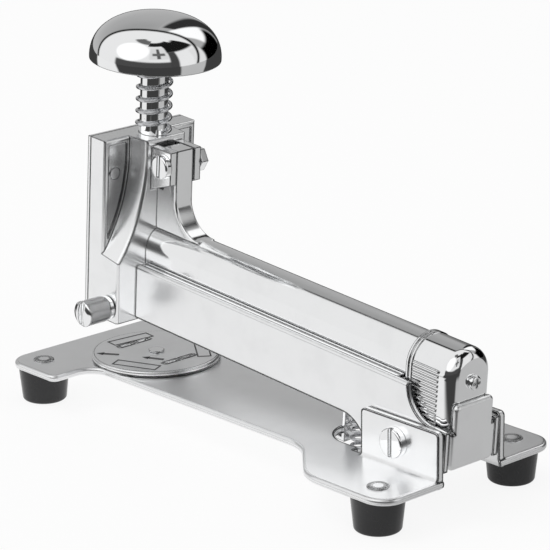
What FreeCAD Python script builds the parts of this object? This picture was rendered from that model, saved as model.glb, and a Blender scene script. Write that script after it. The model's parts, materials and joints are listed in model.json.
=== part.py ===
"""Desk plunger stapler: stamped base on four feet, turning anvil disc, sprung arm, plunger head."""

import FreeCAD, Part
import math
import os
import Sketcher

Vector = FreeCAD.Vector
Rotation = FreeCAD.Rotation

# Driving sizes in millimetres and degrees
SIZES = [
    ("base_length", 186.0, "base plate, front to rear"),
    ("base_width", 78.8, "base plate over the foot lobes"),
    ("plate_thick", 2.4, "sheet of the base plate and its ears"),
    ("foot_height", 11.6, "floor to the underside of the plate"),
    ("waist_width", 43.8, "base plate between the lobes"),
    ("front_lobe", 26.2, "front lobe, along the base"),
    ("rear_lobe", 35.2, "rear lobe, along the base"),
    ("rear_sweep", 19.4, "slanted edge from waist to rear lobe, along the base"),
    ("lobe_corner", 8.0, "outer corners of the lobes"),
    ("lobe_inner_corner", 3.0, "inner corner of a front lobe"),
    ("waist_fillet", 7.0, "front lobe to waist"),
    ("sweep_fillet", 16.0, "both ends of the rear sweep"),
    ("plate_edge", 0.9, "rounding of the plate's edges"),
    ("foot_front_inset", 9.7, "front foot centre inside the front edge"),
    ("foot_rear_inset", 11.3, "rear foot centre inside the rear edge"),
    ("foot_side_inset", 9.1, "foot centre inside the lobe's outer edge"),
    ("foot_top_radius", 8.8, "rubber foot under the plate"),
    ("foot_bottom_radius", 7.6, "rubber foot on the floor"),
    ("foot_edge", 1.2, "rounding of the foot's lower edge"),
    ("foot_recess_radius", 4.6, "recess under the foot for the rivet's tail"),
    ("foot_recess_depth", 5.2, "recess under the foot"),
    ("rivet_radius", 2.0, "shank of a foot rivet"),
    ("rivet_head_radius", 3.6, "head of a foot rivet"),
    ("rivet_head_height", 0.5, "head of a foot rivet above the plate"),
    ("ear_play", 0.4, "ear beside the arm's channel"),
    ("ear_length", 34.0, "ear, along the base"),
    ("ear_rear_inset", 0.5, "ear short of the rear edge"),
    ("ear_above", 7.45, "top of the ears above the pivot"),
    ("ear_corner", 1.6, "upper corners of an ear"),
    ("ear_bend", 1.3, "inside radius where the ear leaves the plate"),
    ("relief_length", 5.0, "bend relief ahead of each ear"),
    ("relief_depth", 1.4, "bend relief beside the ear's inner face"),
    ("hole_radius", 11.4, "round front end of the opening"),
    ("hole_ahead", 27.0, "centre of that round end ahead of the pivot"),
    ("disc_radius", 22.4, "anvil disc"),
    ("disc_thick", 1.9, "anvil disc"),
    ("disc_edge", 0.7, "rounding of the disc's upper edge"),
    ("disc_gap", 0.3, "disc above the plate"),
    ("disc_pin_radius", 2.0, "pivot rivet of the disc"),
    ("disc_pin_head", 2.75, "head radius of that rivet"),
    ("pin_fit", 0.06, "radial play of a turning pin"),
    ("crimp_offset", 12.0, "crimp pair from the disc's centre"),
    ("crimp_length", 5.2, "one crimp groove, across the staple"),
    ("crimp_width", 1.8, "one crimp groove"),
    ("crimp_depth", 0.7, "crimp grooves below the disc's face"),
    ("pivot_inset", 19.0, "arm pivot inside the base's rear edge"),
    ("pivot_rise", 8.65, "arm pivot above the plate"),
    ("rest_tilt", 4.05, "arm raised at rest, degrees"),
    ("axle_radius", 3.0, "pivot screw's shank"),
    ("axle_head_radius", 5.0, "pivot screw's slotted head"),
    ("axle_head_height", 2.7, "pivot screw's slotted head"),
    ("head_slot_width", 1.3, "driver slots"),
    ("head_slot_depth", 1.1, "driver slots"),
    ("head_inset", 19.7, "front face of the head inside the base's front edge"),
    ("arm_rear", 18.4, "channel's rear end behind the pivot"),
    ("channel_width", 24.4, "outer channel"),
    ("channel_wall", 2.0, "outer channel above its ledge"),
    ("ledge_width", 1.3, "ledge that carries the cover's flange"),
    ("ledge_height", 17.7, "ledge above the pivot"),
    ("rim_rise", 1.6, "channel's rim above its ledge"),
    ("channel_bottom", 0.35, "channel's underside above the pivot"),
    ("channel_floor", 1.2, "channel's floor"),
    ("channel_lip", 0.9, "rounding of the channel's rim"),
    ("cheek_drop", 5.3, "cheeks below the pivot"),
    ("cheek_front", 12.0, "cheeks ahead of the pivot"),
    ("cheek_slope", 15.0, "run from the cheeks up to the channel's underside"),
    ("floor_rear", 25.0, "rear end of the channel's floor ahead of the pivot"),
    ("cheek_end_height", 8.2, "rear end of the cheeks above the pivot"),
    ("cheek_curve", 17.5, "concave curve at the rear of the cheeks"),
    ("cover_width", 16.4, "half-round cover"),
    ("cover_top", 32.1, "cover's crown above the pivot"),
    ("cover_wall", 1.3, "cover"),
    ("cover_rear", 3.0, "cover's rear end ahead of the pivot"),
    ("flange_end", 6.0, "rear end of the cover's flange ahead of the pivot"),
    ("flange_thick", 1.3, "cover's flange"),
    ("seat_gap", 0.1, "play of pieces set side by side"),
    ("web_thick", 7.4, "gusset web on the cover"),
    ("web_gap", 3.1, "web's upper block behind the head"),
    ("web_lug_height", 15.0, "web's upper block"),
    ("web_curve", 12.0, "concave curve from the web to the cover"),
    ("web_edge", 0.6, "rounding of the web's edges"),
    ("head_width", 40.6, "head across the arm"),
    ("head_top", 63.0, "head's deck above the pivot"),
    ("head_bottom", 0.6, "head's underside below the pivot"),
    ("block_depth", 8.3, "head's middle block behind its wings"),
    ("wing_thick", 7.4, "head's wings, along the arm"),
    ("panel_border", 2.0, "raised border of the wings' rear panels"),
    ("panel_inner_border", 1.0, "raised border beside the flare"),
    ("panel_depth", 0.6, "sunk panels in the wings' rear faces"),
    ("front_plate_thick", 2.1, "front plate of the head"),
    ("block_top_width", 17.0, "head's middle block at its top, rear face"),
    ("block_draft", 1.0, "the block is wider at the wings, each side"),
    ("flare_radius", 60.0, "concave flare of the block"),
    ("flare_drop", 6.0, "top of the flare below the deck"),
    ("head_edge", 1.1, "rounding of the head's edges"),
    ("head_rivet_inset", 4.9, "rivet inside the wing's outer edge"),
    ("head_rivet_drop", 12.3, "rivet below the head's deck"),
    ("nose_drop", 2.6, "nose below the head's underside"),
    ("nose_half_width", 8.6, "nose beside the middle line"),
    ("nose_depth", 6.2, "nose, along the arm"),
    ("lug_thick", 2.7, "one clamp lug"),
    ("lug_reach", 9.9, "lugs behind the head"),
    ("lug_step", 2.0, "top of the lugs below the deck"),
    ("lug_root_height", 15.8, "lug at the head"),
    ("lug_end_height", 11.7, "lug at its end"),
    ("clamp_reach", 6.5, "clamp bolt behind the head"),
    ("clamp_drop", 5.4, "clamp bolt below the top of the lugs"),
    ("clamp_radius", 2.0, "clamp bolt's shank"),
    ("clamp_head_radius", 4.2, "clamp bolt's slotted head"),
    ("clamp_head_height", 2.6, "clamp bolt's slotted head"),
    ("nut_flats", 7.6, "clamp nut across its flats"),
    ("nut_thick", 2.8, "clamp nut"),
    ("shaft_inset", 8.6, "plunger's axis behind the casting's front face"),
    ("shaft_radius", 4.8, "plunger shaft"),
    ("shaft_fit", 0.08, "radial play of the plunger shaft"),
    ("stroke", 12.0, "plunger's travel"),
    ("chamber_half_width", 7.0, "crosshead chamber beside the middle line"),
    ("chamber_wall", 1.6, "rear wall of the chamber"),
    ("chamber_play", 4.2, "room under the crosshead at full stroke"),
    ("deck_thick", 13.0, "head above the chamber"),
    ("crosshead_height", 11.5, "crosshead"),
    ("slide_gap", 0.3, "play of sliding pieces"),
    ("blade_thick", 0.9, "driver blade"),
    ("blade_play", 0.15, "driver blade inside the staple's width, each side"),
    ("blade_lift", 0.5, "driver blade's edge above the staples at rest"),
    ("knob_radius", 22.4, "striking knob"),
    ("knob_rise", 26.05, "knob's rim above the head's deck"),
    ("knob_side", 2.95, "upright side above the rim"),
    ("knob_height", 15.45, "knob, rim to crown"),
    ("knob_shoulder", 11.3, "shoulder curve of the knob"),
    ("knob_wall", 1.3, "spun shell of the knob"),
    ("hub_radius", 9.0, "hub inside the knob"),
    ("hub_inset", 2.5, "hub's underside above the rim"),
    ("spring_wire", 1.2, "return spring's wire"),
    ("spring_radius", 5.7, "return spring's mean radius"),
    ("spring_pitch", 4.2, "return spring's pitch"),
    ("screw_inset", 4.5, "thumb screw's axis ahead of the block's rear face"),
    ("screw_height", 4.6, "thumb screw's axis above the pivot"),
    ("screw_shank", 2.4, "thumb screw's shank radius"),
    ("screw_depth", 9.0, "thumb screw's shank in the head"),
    ("collar_radius", 4.1, "thumb screw's collar"),
    ("collar_length", 2.1, "thumb screw's collar"),
    ("knurl_radius", 4.55, "thumb screw's barrel"),
    ("knurl_length", 9.0, "thumb screw's barrel"),
    ("thumb_dome", 1.2, "rise of the barrel's domed end"),
    ("thumb_slot_width", 2.2, "slot across that end"),
    ("thumb_slot_depth", 1.5, "slot across that end"),
    ("cap_front", 2.7, "cap's front end ahead of the pivot"),
    ("cap_rear", 17.2, "cap's rear face behind the pivot"),
    ("cap_step", 1.1, "cap wider than the cover, each side"),
    ("cap_clear", 1.0, "cap's lower edge above the pivot screw"),
    ("cap_crown", 0.8, "cap proud of the cover"),
    ("cap_collar", 2.4, "collar at the cap's front, along the arm"),
    ("collar_rise", 0.3, "collar proud of the cap"),
    ("cap_round", 4.4, "rounding of the cap's rear edge"),
    ("cap_wall", 2.0, "rear wall of the cap"),
    ("spigot_length", 7.0, "cap's spigot inside the cover"),
    ("rib_count", 14, "grip ribs on each side of the cap"),
    ("rib_pitch", 1.6, "grip ribs"),
    ("rib_width", 0.8, "one grip rib"),
    ("rib_rise", 0.35, "grip ribs proud of the cap"),
    ("rib_length", 11.0, "grip ribs along the arm"),
    ("rod_drop", 1.7, "guide rod and cap screw below the centre of the cover's arch"),
    ("cap_screw_radius", 2.4, "cap screw's head"),
    ("cap_screw_rise", 1.7, "cap screw's head"),
    ("rod_radius", 1.8, "guide rod"),
    ("rod_inset", 7.5, "guide rod's front end behind the head"),
    ("rod_collar_radius", 3.0, "collar on the guide rod's front end"),
    ("rod_collar_length", 2.0, "collar on the guide rod's front end"),
    ("tail_play", 0.4, "tail plate inside the cheeks, each side"),
    ("tail_top", 16.4, "tail plate's upper edge above the pivot"),
    ("tail_depth", 1.9, "folded rim of the tail plate"),
    ("tail_step", 1.3, "tail plate narrower above the cheeks, each side"),
    ("tail_step_height", 7.4, "foot of that narrower part above the pivot"),
    ("tail_edge", 1.3, "rounding around the tail plate's face"),
    ("tail_sheet", 1.2, "sheet of the tail plate"),
    ("tail_corner", 1.8, "rounded corners of the tail plate"),
    ("rail_clear", 0.5, "staple rail above the pivot screw"),
    ("rail_wall", 1.0, "staple rail"),
    ("tunnel_play", 0.75, "staple tunnel beside the staples, each side"),
    ("tunnel_headroom", 1.4, "staple tunnel above the staples"),
    ("tunnel_footroom", 0.5, "staple tunnel below the staples"),
    ("crown_width", 12.9, "staples, across the crown"),
    ("staple_wire", 0.6, "staples"),
    ("leg_length", 5.9, "staples, from crown to points"),
    ("leg_play", 0.35, "staple points above the channel's floor"),
    ("strip_length", 70.0, "strip of staples left"),
    ("pusher_length", 11.0, "staple pusher"),
    ("pusher_rise", 3.6, "staple pusher above the guide rod"),
    ("pusher_skirt", 0.8, "staple pusher's skirts beside the rail"),
    ("pusher_neck", 4.5, "staple pusher's neck beside the middle line"),
    ("feed_wire", 0.9, "pusher spring's wire"),
    ("feed_radius", 3.0, "pusher spring's mean radius"),
    ("feed_turns", 13, "pusher spring"),
    ("lift_ahead", 2.5, "lift spring ahead of the round end's centre"),
    ("lift_radius", 4.0, "lift spring's mean radius"),
    ("lift_wire", 1.1, "lift spring's wire"),
    ("lift_turns", 6, "lift spring"),
    ("seat_drop", 4.6, "lift spring's seat below the plate"),
    ("strap_thick", 1.2, "strap under the opening"),
    ("strap_length", 9.2, "strap, along the base"),
    ("strap_land", 4.0, "each end of the strap against the plate"),
    ("strap_reach", 4.1, "lowered part of the strap beyond the opening, each side"),
    ("hook_gap", 2.0, "stop hook behind the opening's front edge"),
    ("hook_width", 5.0, "stop hook across the arm"),
    ("hook_thick", 1.4, "stop hook"),
    ("hook_reach", 5.2, "stop hook's toe, towards the head"),
    ("hook_play", 0.35, "stop hook's toe below the plate at rest"),
]

document = FreeCAD.newDocument("desk_stapler")
sheet = document.addObject("Spreadsheet::Sheet", "Sizes")


class Dim:
    """A size kept as the sheet's formula and as the number that it gives."""

    def __init__(self, text, number):
        self.text = text
        self.number = number

    def combine(self, sign, other, number, turned=False):
        left, right = (text_of(other), self.text) if turned else (self.text, text_of(other))
        return Dim("(" + left + " " + sign + " " + right + ")", number)

    def __add__(self, other):
        return self.combine("+", other, self.number + number_of(other))

    def __sub__(self, other):
        return self.combine("-", other, self.number - number_of(other))

    def __mul__(self, other):
        return self.combine("*", other, self.number * number_of(other))

    def __truediv__(self, other):
        return self.combine("/", other, self.number / number_of(other))

    def __radd__(self, other):
        return self.combine("+", other, number_of(other) + self.number, True)

    def __rsub__(self, other):
        return self.combine("-", other, number_of(other) - self.number, True)

    def __rmul__(self, other):
        return self.combine("*", other, number_of(other) * self.number, True)

    def __neg__(self):
        return 0 - self


def text_of(value):
    return value.text if isinstance(value, Dim) else repr(value)


def number_of(value):
    return value.number if isinstance(value, Dim) else float(value)


def root(value):
    return Dim("sqrt(" + value.text + ")", math.sqrt(value.number))


class SizeBook:
    """The named sizes, each as a Dim."""


size = SizeBook()
for row, (alias, number, meaning) in enumerate(SIZES, start=1):
    sheet.set("A%d" % row, alias)
    sheet.set("B%d" % row, str(number))
    sheet.setAlias("B%d" % row, alias)
    sheet.set("C%d" % row, meaning)
    setattr(size, alias, Dim("Sizes." + alias, number))
document.recompute()

tilt_cos = Dim("cos(Sizes.rest_tilt)", math.cos(math.radians(size.rest_tilt.number)))
tilt_sin = Dim("sin(Sizes.rest_tilt)", math.sin(math.radians(size.rest_tilt.number)))
tilt_tan = Dim("tan(Sizes.rest_tilt)", math.tan(math.radians(size.rest_tilt.number)))

# Base: places of the feet, the pivot and the opening
half_length = size.base_length / 2
half_width = size.base_width / 2
plate_bottom = size.foot_height
plate_top = size.foot_height + size.plate_thick
foot_front = half_length - size.foot_front_inset
foot_rear = half_length - size.foot_rear_inset
foot_side = half_width - size.foot_side_inset
pivot_back = half_length - size.pivot_inset
pivot_height = plate_top + size.pivot_rise
hole_back = pivot_back - size.hole_ahead
lift_back = hole_back - size.lift_ahead
lift_seat = plate_bottom - size.seat_drop
ear_gap = size.channel_width + size.ear_play * 2
ear_top = pivot_height + size.ear_above

# Arm: distances ahead of the pivot
head_front = size.base_length - size.pivot_inset - size.head_inset
casting_front = head_front - size.front_plate_thick
slab_rear = casting_front - size.wing_thick
arm_front = slab_rear - size.block_depth
lug_rear = arm_front - size.lug_reach
web_rear = lug_rear + size.seat_gap * 2
web_step = arm_front - size.web_gap
clamp_ahead = arm_front - size.clamp_reach
shaft_ahead = casting_front - size.shaft_inset
chamber_rear = arm_front + size.chamber_wall
screw_ahead = arm_front + size.screw_inset
rail_front = casting_front - size.blade_thick - size.slide_gap * 3
rod_front = arm_front - size.rod_inset
disc_front = casting_front - size.slide_gap - size.blade_thick / 2 - pivot_back - size.crimp_offset
hook_ahead = size.hole_ahead + size.hole_radius - size.hook_gap

# Arm: levels above the pivot
channel_top = size.ledge_height + size.rim_rise
cover_centre = size.cover_top - size.cover_width / 2
rod_level = cover_centre - size.rod_drop
pusher_top = rod_level + size.pusher_rise
leg_bottom = size.channel_bottom + size.channel_floor + size.leg_play
rail_top = leg_bottom + size.leg_length - size.staple_wire
staple_top = rail_top + size.staple_wire
rail_bottom = size.axle_radius + size.rail_clear
cap_bottom = size.axle_radius + size.cap_clear
tunnel_floor = leg_bottom - size.tunnel_footroom
tunnel_top = staple_top + size.tunnel_headroom
blade_bottom = staple_top + size.blade_lift
lug_top = size.head_top - size.lug_step
web_step_level = lug_top - size.web_lug_height
rivet_level = size.head_top - size.head_rivet_drop
clamp_height = lug_top - size.clamp_drop
flare_start = size.head_top - size.flare_drop
chamber_top = size.head_top - size.deck_thick
crosshead_bottom = chamber_top - size.slide_gap - size.crosshead_height
chamber_bottom = crosshead_bottom - size.stroke - size.chamber_play
knob_rim = size.head_top + size.knob_rise
knob_top = knob_rim + size.knob_height
hub_bottom = knob_rim + size.hub_inset
hook_depth = (pivot_height - plate_bottom + size.hook_play) / tilt_cos + (hook_ahead + size.hook_reach) * tilt_tan

# Widths that fit each other
rail_width = size.crown_width - (size.staple_wire + size.seat_gap) * 2
blade_half_width = size.crown_width / 2 - size.blade_play
tunnel_half_width = size.crown_width / 2 + size.tunnel_play
lug_gap = size.web_thick + size.slide_gap * 2
cap_width = size.cover_width + size.cap_step * 2
rivet_side = size.head_width / 2 - size.head_rivet_inset

nodes = []


def bind(item, prop, value):
    """Ties a property to the sheet, or sets it where the value is a plain number."""
    if isinstance(value, Dim):
        item.setExpression(prop, value.text)
    else:
        item.setExpression(prop, repr(float(value)))


def place(item, x=0.0, y=0.0, z=0.0, turn=None):
    """Puts an item at x, y, z, turned by an axis and an angle."""
    axis, angle = turn if turn else (Vector(0, 0, 1), 0.0)
    item.Placement = FreeCAD.Placement(Vector(0, 0, 0), Rotation(axis, number_of(angle)))
    for letter, value in (("x", x), ("y", y), ("z", z)):
        bind(item, "Placement.Base." + letter, value)
    if isinstance(angle, Dim):
        bind(item, "Placement.Rotation.Angle", angle)


def keep(item, name, on_arm=False):
    """Names a finished piece and, on the arm, raises it about the pivot to its place at rest."""
    item.Label = name
    if on_arm:
        place(item, x=pivot_back, z=pivot_height, turn=(Vector(0, 1, 0), size.rest_tilt))
    nodes.append(item)


def on_arm_at(item, x, z, y=0.0):
    """Puts a finished piece made about its own origin at a place of the raised arm."""
    place(
        item,
        x=pivot_back + x * tilt_cos + z * tilt_sin,
        y=y,
        z=pivot_height - x * tilt_sin + z * tilt_cos,
        turn=(Vector(0, 1, 0), size.rest_tilt),
    )


# Sketches and features
def new_body(name):
    return document.addObject("PartDesign::Body", name + "_body")


def new_sketch(body, name, plane, offset=0.0):
    """A sketch on the body's own XY, XZ or YZ plane, moved along the plane's normal."""
    sketch = body.newObject("Sketcher::SketchObject", name)
    support = [item for item in body.Origin.OriginFeatures if item.Role == plane + "_Plane"][0]
    sketch.AttachmentSupport = [(support, "")]
    sketch.MapMode = "FlatFace"
    bind(sketch, "AttachmentOffset.Base.z", offset)
    return sketch


def pin_point(sketch, curve, spot, u, v, wanted=("u", "v")):
    """Fixes one point of a curve at u, v measured from the sketch's origin."""
    for letter, kind, axis, value in (("u", "DistanceX", -2, u), ("v", "DistanceY", -1, v)):
        if letter not in wanted:
            continue
        if not isinstance(value, Dim) and float(value) == 0.0:
            sketch.addConstraint(Sketcher.Constraint("PointOnObject", curve, spot, axis))
            continue
        number = number_of(value)
        index = sketch.addConstraint(Sketcher.Constraint(kind, -1, 1, curve, spot, number))
        if isinstance(value, Dim):
            sketch.setExpression("Constraints[%d]" % index, value.text)


def add_loop(sketch, corners):
    """A closed loop. A corner is (u, v), or (u, v, centre u, centre v, sense) after an arc."""
    spots = [Vector(number_of(c[0]), number_of(c[1]), 0) for c in corners]
    runs = []
    for index, corner in enumerate(corners):
        begin = spots[index - 1]
        end = spots[index]
        if len(corner) == 2:
            curve = sketch.addGeometry(Part.LineSegment(begin, end), False)
            runs.append((curve, 1, 2))
            continue
        centre = Vector(number_of(corner[2]), number_of(corner[3]), 0)
        first, last = (begin, end) if corner[4] == "ccw" else (end, begin)
        circle = Part.Circle(centre, Vector(0, 0, 1), (end - centre).Length)
        angles = [math.atan2(p.y - centre.y, p.x - centre.x) for p in (first, last)]
        if angles[1] <= angles[0]:
            angles[1] += 2 * math.pi
        curve = sketch.addGeometry(Part.ArcOfCircle(circle, angles[0], angles[1]), False)
        runs.append((curve, 1, 2) if corner[4] == "ccw" else (curve, 2, 1))
    for index, (curve, first, last) in enumerate(runs):
        following = runs[(index + 1) % len(runs)]
        sketch.addConstraint(Sketcher.Constraint("Coincident", curve, last, following[0], following[1]))
    for index, corner in enumerate(corners):
        curve, first, last = runs[index]
        pin_point(sketch, curve, last, corner[0], corner[1])
        if len(corner) > 2:
            chord = spots[index] - spots[index - 1]
            across = "u" if abs(chord.y) > abs(chord.x) else "v"
            pin_point(sketch, curve, 3, corner[2], corner[3], wanted=(across,))
    return sketch


def add_box(sketch, u_low, u_high, v_low, v_high):
    return add_loop(sketch, [(u_low, v_low), (u_high, v_low), (u_high, v_high), (u_low, v_high)])


def add_circle(sketch, u, v, radius):
    circle = Part.Circle(Vector(number_of(u), number_of(v), 0), Vector(0, 0, 1), number_of(radius))
    curve = sketch.addGeometry(circle, False)
    index = sketch.addConstraint(Sketcher.Constraint("Radius", curve, number_of(radius)))
    if isinstance(radius, Dim):
        sketch.setExpression("Constraints[%d]" % index, radius.text)
    pin_point(sketch, curve, 3, u, v)
    return sketch


def pad(body, sketch, length, name):
    """Adds material from the sketch along its plane's normal."""
    feature = body.newObject("PartDesign::Pad", name)
    feature.Profile = sketch
    bind(feature, "Length", length)
    return feature


def pocket(body, sketch, length, name):
    """Removes material from the sketch along its plane's normal, and makes sure that it did."""
    document.recompute()
    before = body.Shape.Volume
    feature = body.newObject("PartDesign::Pocket", name)
    feature.Profile = sketch
    feature.Reversed = True
    bind(feature, "Length", length)
    document.recompute()
    if not body.Shape.Volume < before:
        raise RuntimeError(name + " cuts nothing")
    return feature


def revolve(body, sketch, name, axis="V_Axis"):
    feature = body.newObject("PartDesign::Revolution", name)
    feature.Profile = sketch
    feature.ReferenceAxis = (sketch, [axis])
    feature.Angle = 360.0
    return feature


def round_edges(body, base, radius, name, chosen):
    """Rounds the edges of a feature whose middle point and direction the test accepts."""
    document.recompute()
    picked = []
    for index, edge in enumerate(base.Shape.Edges, start=1):
        middle = edge.valueAt((edge.FirstParameter + edge.LastParameter) / 2)
        if chosen(edge, middle):
            picked.append("Edge%d" % index)
    if not picked:
        raise RuntimeError(name + " finds no edge")
    feature = body.newObject("PartDesign::Fillet", name)
    feature.Base = (base, picked)
    bind(feature, "Radius", radius)
    document.recompute()
    return feature


def is_upright(edge):
    """True for a straight edge along Z."""
    ends = [vertex.Point for vertex in edge.Vertexes]
    return len(ends) == 2 and (ends[1] - ends[0]).normalize().isEqual(Vector(0, 0, 1), 1e-6) or (
        len(ends) == 2 and (ends[0] - ends[1]).normalize().isEqual(Vector(0, 0, 1), 1e-6)
    )


def near(value, target, margin=0.05):
    return abs(value - number_of(target)) < margin


# Plain solids for screws and the like
TURNS = {"x": (Vector(0, 1, 0), 90.0), "y": (Vector(1, 0, 0), -90.0), "z": (Vector(0, 0, 1), 0.0)}


def rod(name, radius, length, along, x=0.0, y=0.0, z=0.0):
    item = document.addObject("Part::Cylinder", name)
    bind(item, "Radius", radius)
    bind(item, "Height", length)
    place(item, x, y, z, TURNS[along])
    return item


def block(name, x, y, z, dx, dy, dz):
    item = document.addObject("Part::Box", name)
    bind(item, "Length", dx)
    bind(item, "Width", dy)
    bind(item, "Height", dz)
    place(item, x, y, z)
    return item


def join(name, items):
    fused = document.addObject("Part::MultiFuse", name)
    fused.Shapes = items
    fused.Refine = True
    return fused


def subtract(name, base, tool):
    cut = document.addObject("Part::Cut", name)
    cut.Base = base
    cut.Tool = tool
    return cut


def round_solid(name, base, radius, chosen):
    """Rounds chosen edges of a plain solid."""
    document.recompute()
    picked = []
    for index, edge in enumerate(base.Shape.Edges, start=1):
        middle = edge.valueAt((edge.FirstParameter + edge.LastParameter) / 2)
        if chosen(edge, middle):
            picked.append((index, number_of(radius), number_of(radius)))
    if not picked:
        raise RuntimeError(name + " finds no edge")
    feature = document.addObject("Part::Fillet", name)
    feature.Base = base
    feature.Edges = picked
    return feature


def slotted_screw(name, head_radius, head_height, shank_radius, shank_length, x, y, z):
    """A screw along Y with its slotted head at the low-y end; y is the plane under the head."""
    head = rod(name + "_head", head_radius, head_height, "y", x, y - head_height, z)
    shank = rod(name + "_shank", shank_radius, shank_length, "y", x, y, z)
    whole = join(name + "_whole", [head, shank])
    rounded = round_solid(
        name + "_rounded",
        whole,
        head_height * 0.3,
        lambda edge, middle: near(middle.y, y - head_height) and len(edge.Vertexes) == 1,
    )
    slot = block(
        name + "_slot",
        x - size.head_slot_width / 2,
        y - head_height,
        z - head_radius,
        size.head_slot_width,
        size.head_slot_depth,
        head_radius * 2,
    )
    return subtract(name, rounded, slot)


def hex_nut(name, flats, thick, bore, x, y, z):
    """A nut along Y from the plane y."""
    prism = document.addObject("Part::Prism", name + "_prism")
    prism.Polygon = 6
    bind(prism, "Circumradius", flats / math.sqrt(3))
    bind(prism, "Height", thick)
    place(prism, x, y, z, TURNS["y"])
    return subtract(name, prism, rod(name + "_bore", bore, thick, "y", x, y, z))


def coil(name, mean_radius, wire, pitch, height, axis="V_Axis"):
    """A helical spring about its body's Z axis, or about its X axis, from the origin on."""
    body = new_body(name)
    section = new_sketch(body, name + "_section", "XZ")
    spot = (mean_radius, wire / 2) if axis == "V_Axis" else (wire / 2, mean_radius)
    add_circle(section, spot[0], spot[1], wire / 2)
    helix = body.newObject("PartDesign::AdditiveHelix", name + "_helix")
    helix.Profile = section
    helix.ReferenceAxis = (section, [axis])
    helix.Mode = 0
    bind(helix, "Pitch", pitch)
    bind(helix, "Height", height)
    return body


# Base plate
def make_base_plate():
    body = new_body("base_plate")
    rear_x = half_length
    ear_front = half_length - size.ear_rear_inset - size.ear_length
    notch_front = ear_front - size.relief_length
    notch_side = ear_gap / 2 + size.relief_depth
    ear_side = ear_gap / 2
    waist = size.waist_width / 2
    lobe_end = size.front_lobe - half_length
    sweep_end = half_length - size.rear_lobe
    sweep_start = sweep_end - size.rear_sweep
    half = [
        (rear_x, half_width),
        (sweep_end, half_width),
        (sweep_start, waist),
        (lobe_end, waist),
        (lobe_end, half_width),
        (-half_length, half_width),
    ]
    opening = [
        (hole_back, size.hole_radius),
        (notch_front, size.hole_radius),
        (notch_front, notch_side),
        (ear_front, notch_side),
        (ear_front, ear_side),
        (rear_x, ear_side),
    ]
    corners = [(x, -y) for x, y in reversed(half)]
    corners += [(x, -y) for x, y in reversed(opening)]
    first = opening[0]
    corners.append((first[0], first[1], hole_back, 0.0, "cw"))
    corners += opening[1:]
    corners += half
    sketch = new_sketch(body, "plate_outline", "XY", plate_bottom)
    add_loop(sketch, corners)
    plate = pad(body, sketch, size.plate_thick, "plate_sheet")

    def lobe_corner(edge, middle):
        return is_upright(edge) and near(abs(middle.y), half_width) and near(abs(middle.x), half_length)

    def inner_corner(edge, middle):
        return is_upright(edge) and near(middle.x, lobe_end) and near(abs(middle.y), half_width)

    def waist_corner(edge, middle):
        return is_upright(edge) and near(middle.x, lobe_end) and near(abs(middle.y), waist)

    def sweep_corner(edge, middle):
        return is_upright(edge) and (near(middle.x, sweep_end) or near(middle.x, sweep_start))

    step = round_edges(body, plate, size.lobe_corner, "lobe_corners", lobe_corner)
    step = round_edges(body, step, size.lobe_inner_corner, "lobe_inner_corners", inner_corner)
    step = round_edges(body, step, size.waist_fillet, "waist_corners", waist_corner)
    step = round_edges(body, step, size.sweep_fillet, "sweep_corners", sweep_corner)

    def outer_edge(edge, middle):
        face_level = near(middle.z, plate_top) or near(middle.z, plate_bottom)
        inside = abs(middle.y) < notch_side.number + 0.1 and middle.x > hole_back.number - size.hole_radius.number - 1
        at_rear = near(middle.x, half_length)
        return face_level and (at_rear or not inside)

    step = round_edges(body, step, size.plate_edge, "plate_edges", outer_edge)

    for side, name in ((-1, "near"), (1, "far")):
        low_y = ear_side if side > 0 else -(ear_side + size.plate_thick)
        ear = new_sketch(body, "ear_%s" % name, "XZ", -(low_y + size.plate_thick))
        add_box(ear, ear_front, ear_front + size.ear_length, plate_bottom, ear_top)
        step = pad(body, ear, size.plate_thick, "ear_%s_pad" % name)

    def ear_corner(edge, middle):
        return near(middle.z, ear_top) and near(abs(middle.y), ear_side + size.plate_thick / 2)

    def ear_root(edge, middle):
        outer = near(abs(middle.y), ear_side + size.plate_thick)
        return outer and near(middle.z, plate_top) and ear_front.number < middle.x < half_length.number

    def ear_heel(edge, middle):
        return near(abs(middle.y), ear_side) and near(middle.z, plate_bottom) and edge.Length > 20

    step = round_edges(body, step, size.ear_corner, "ear_corners", ear_corner)
    step = round_edges(body, step, size.ear_bend, "ear_roots", ear_root)
    step = round_edges(body, step, size.ear_bend, "ear_heels", ear_heel)

    axle = new_sketch(body, "axle_holes", "XZ", -half_width)
    add_circle(axle, pivot_back, pivot_height, size.axle_radius)
    pocket(body, axle, size.base_width, "axle_holes_cut")
    rivets = new_sketch(body, "rivet_holes", "XY", plate_bottom)
    for x in (-foot_front, foot_rear):
        for y in (-foot_side, foot_side):
            add_circle(rivets, x, y, size.rivet_radius)
    add_circle(rivets, -disc_front, 0.0, size.disc_pin_radius)
    pocket(body, rivets, size.plate_thick, "rivet_holes_cut")
    keep(body, "base_plate")


# Feet and their rivets
def make_foot(name, x, y):
    body = new_body(name)
    profile = new_sketch(body, name + "_profile", "XZ")
    bore = size.rivet_radius + size.seat_gap
    add_loop(
        profile,
        [
            (bore, size.foot_recess_depth),
            (size.foot_recess_radius, size.foot_recess_depth),
            (size.foot_recess_radius, 0.0),
            (size.foot_bottom_radius, 0.0),
            (size.foot_top_radius, size.foot_height),
            (bore, size.foot_height),
        ],
    )
    turned = revolve(body, profile, name + "_turned")
    round_edges(
        body,
        turned,
        size.foot_edge,
        name + "_edge",
        lambda edge, middle: near(middle.z, 0.0) and near(math.hypot(middle.x, middle.y), size.foot_bottom_radius),
    )
    keep(body, name)
    place(body, x, y)


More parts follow.
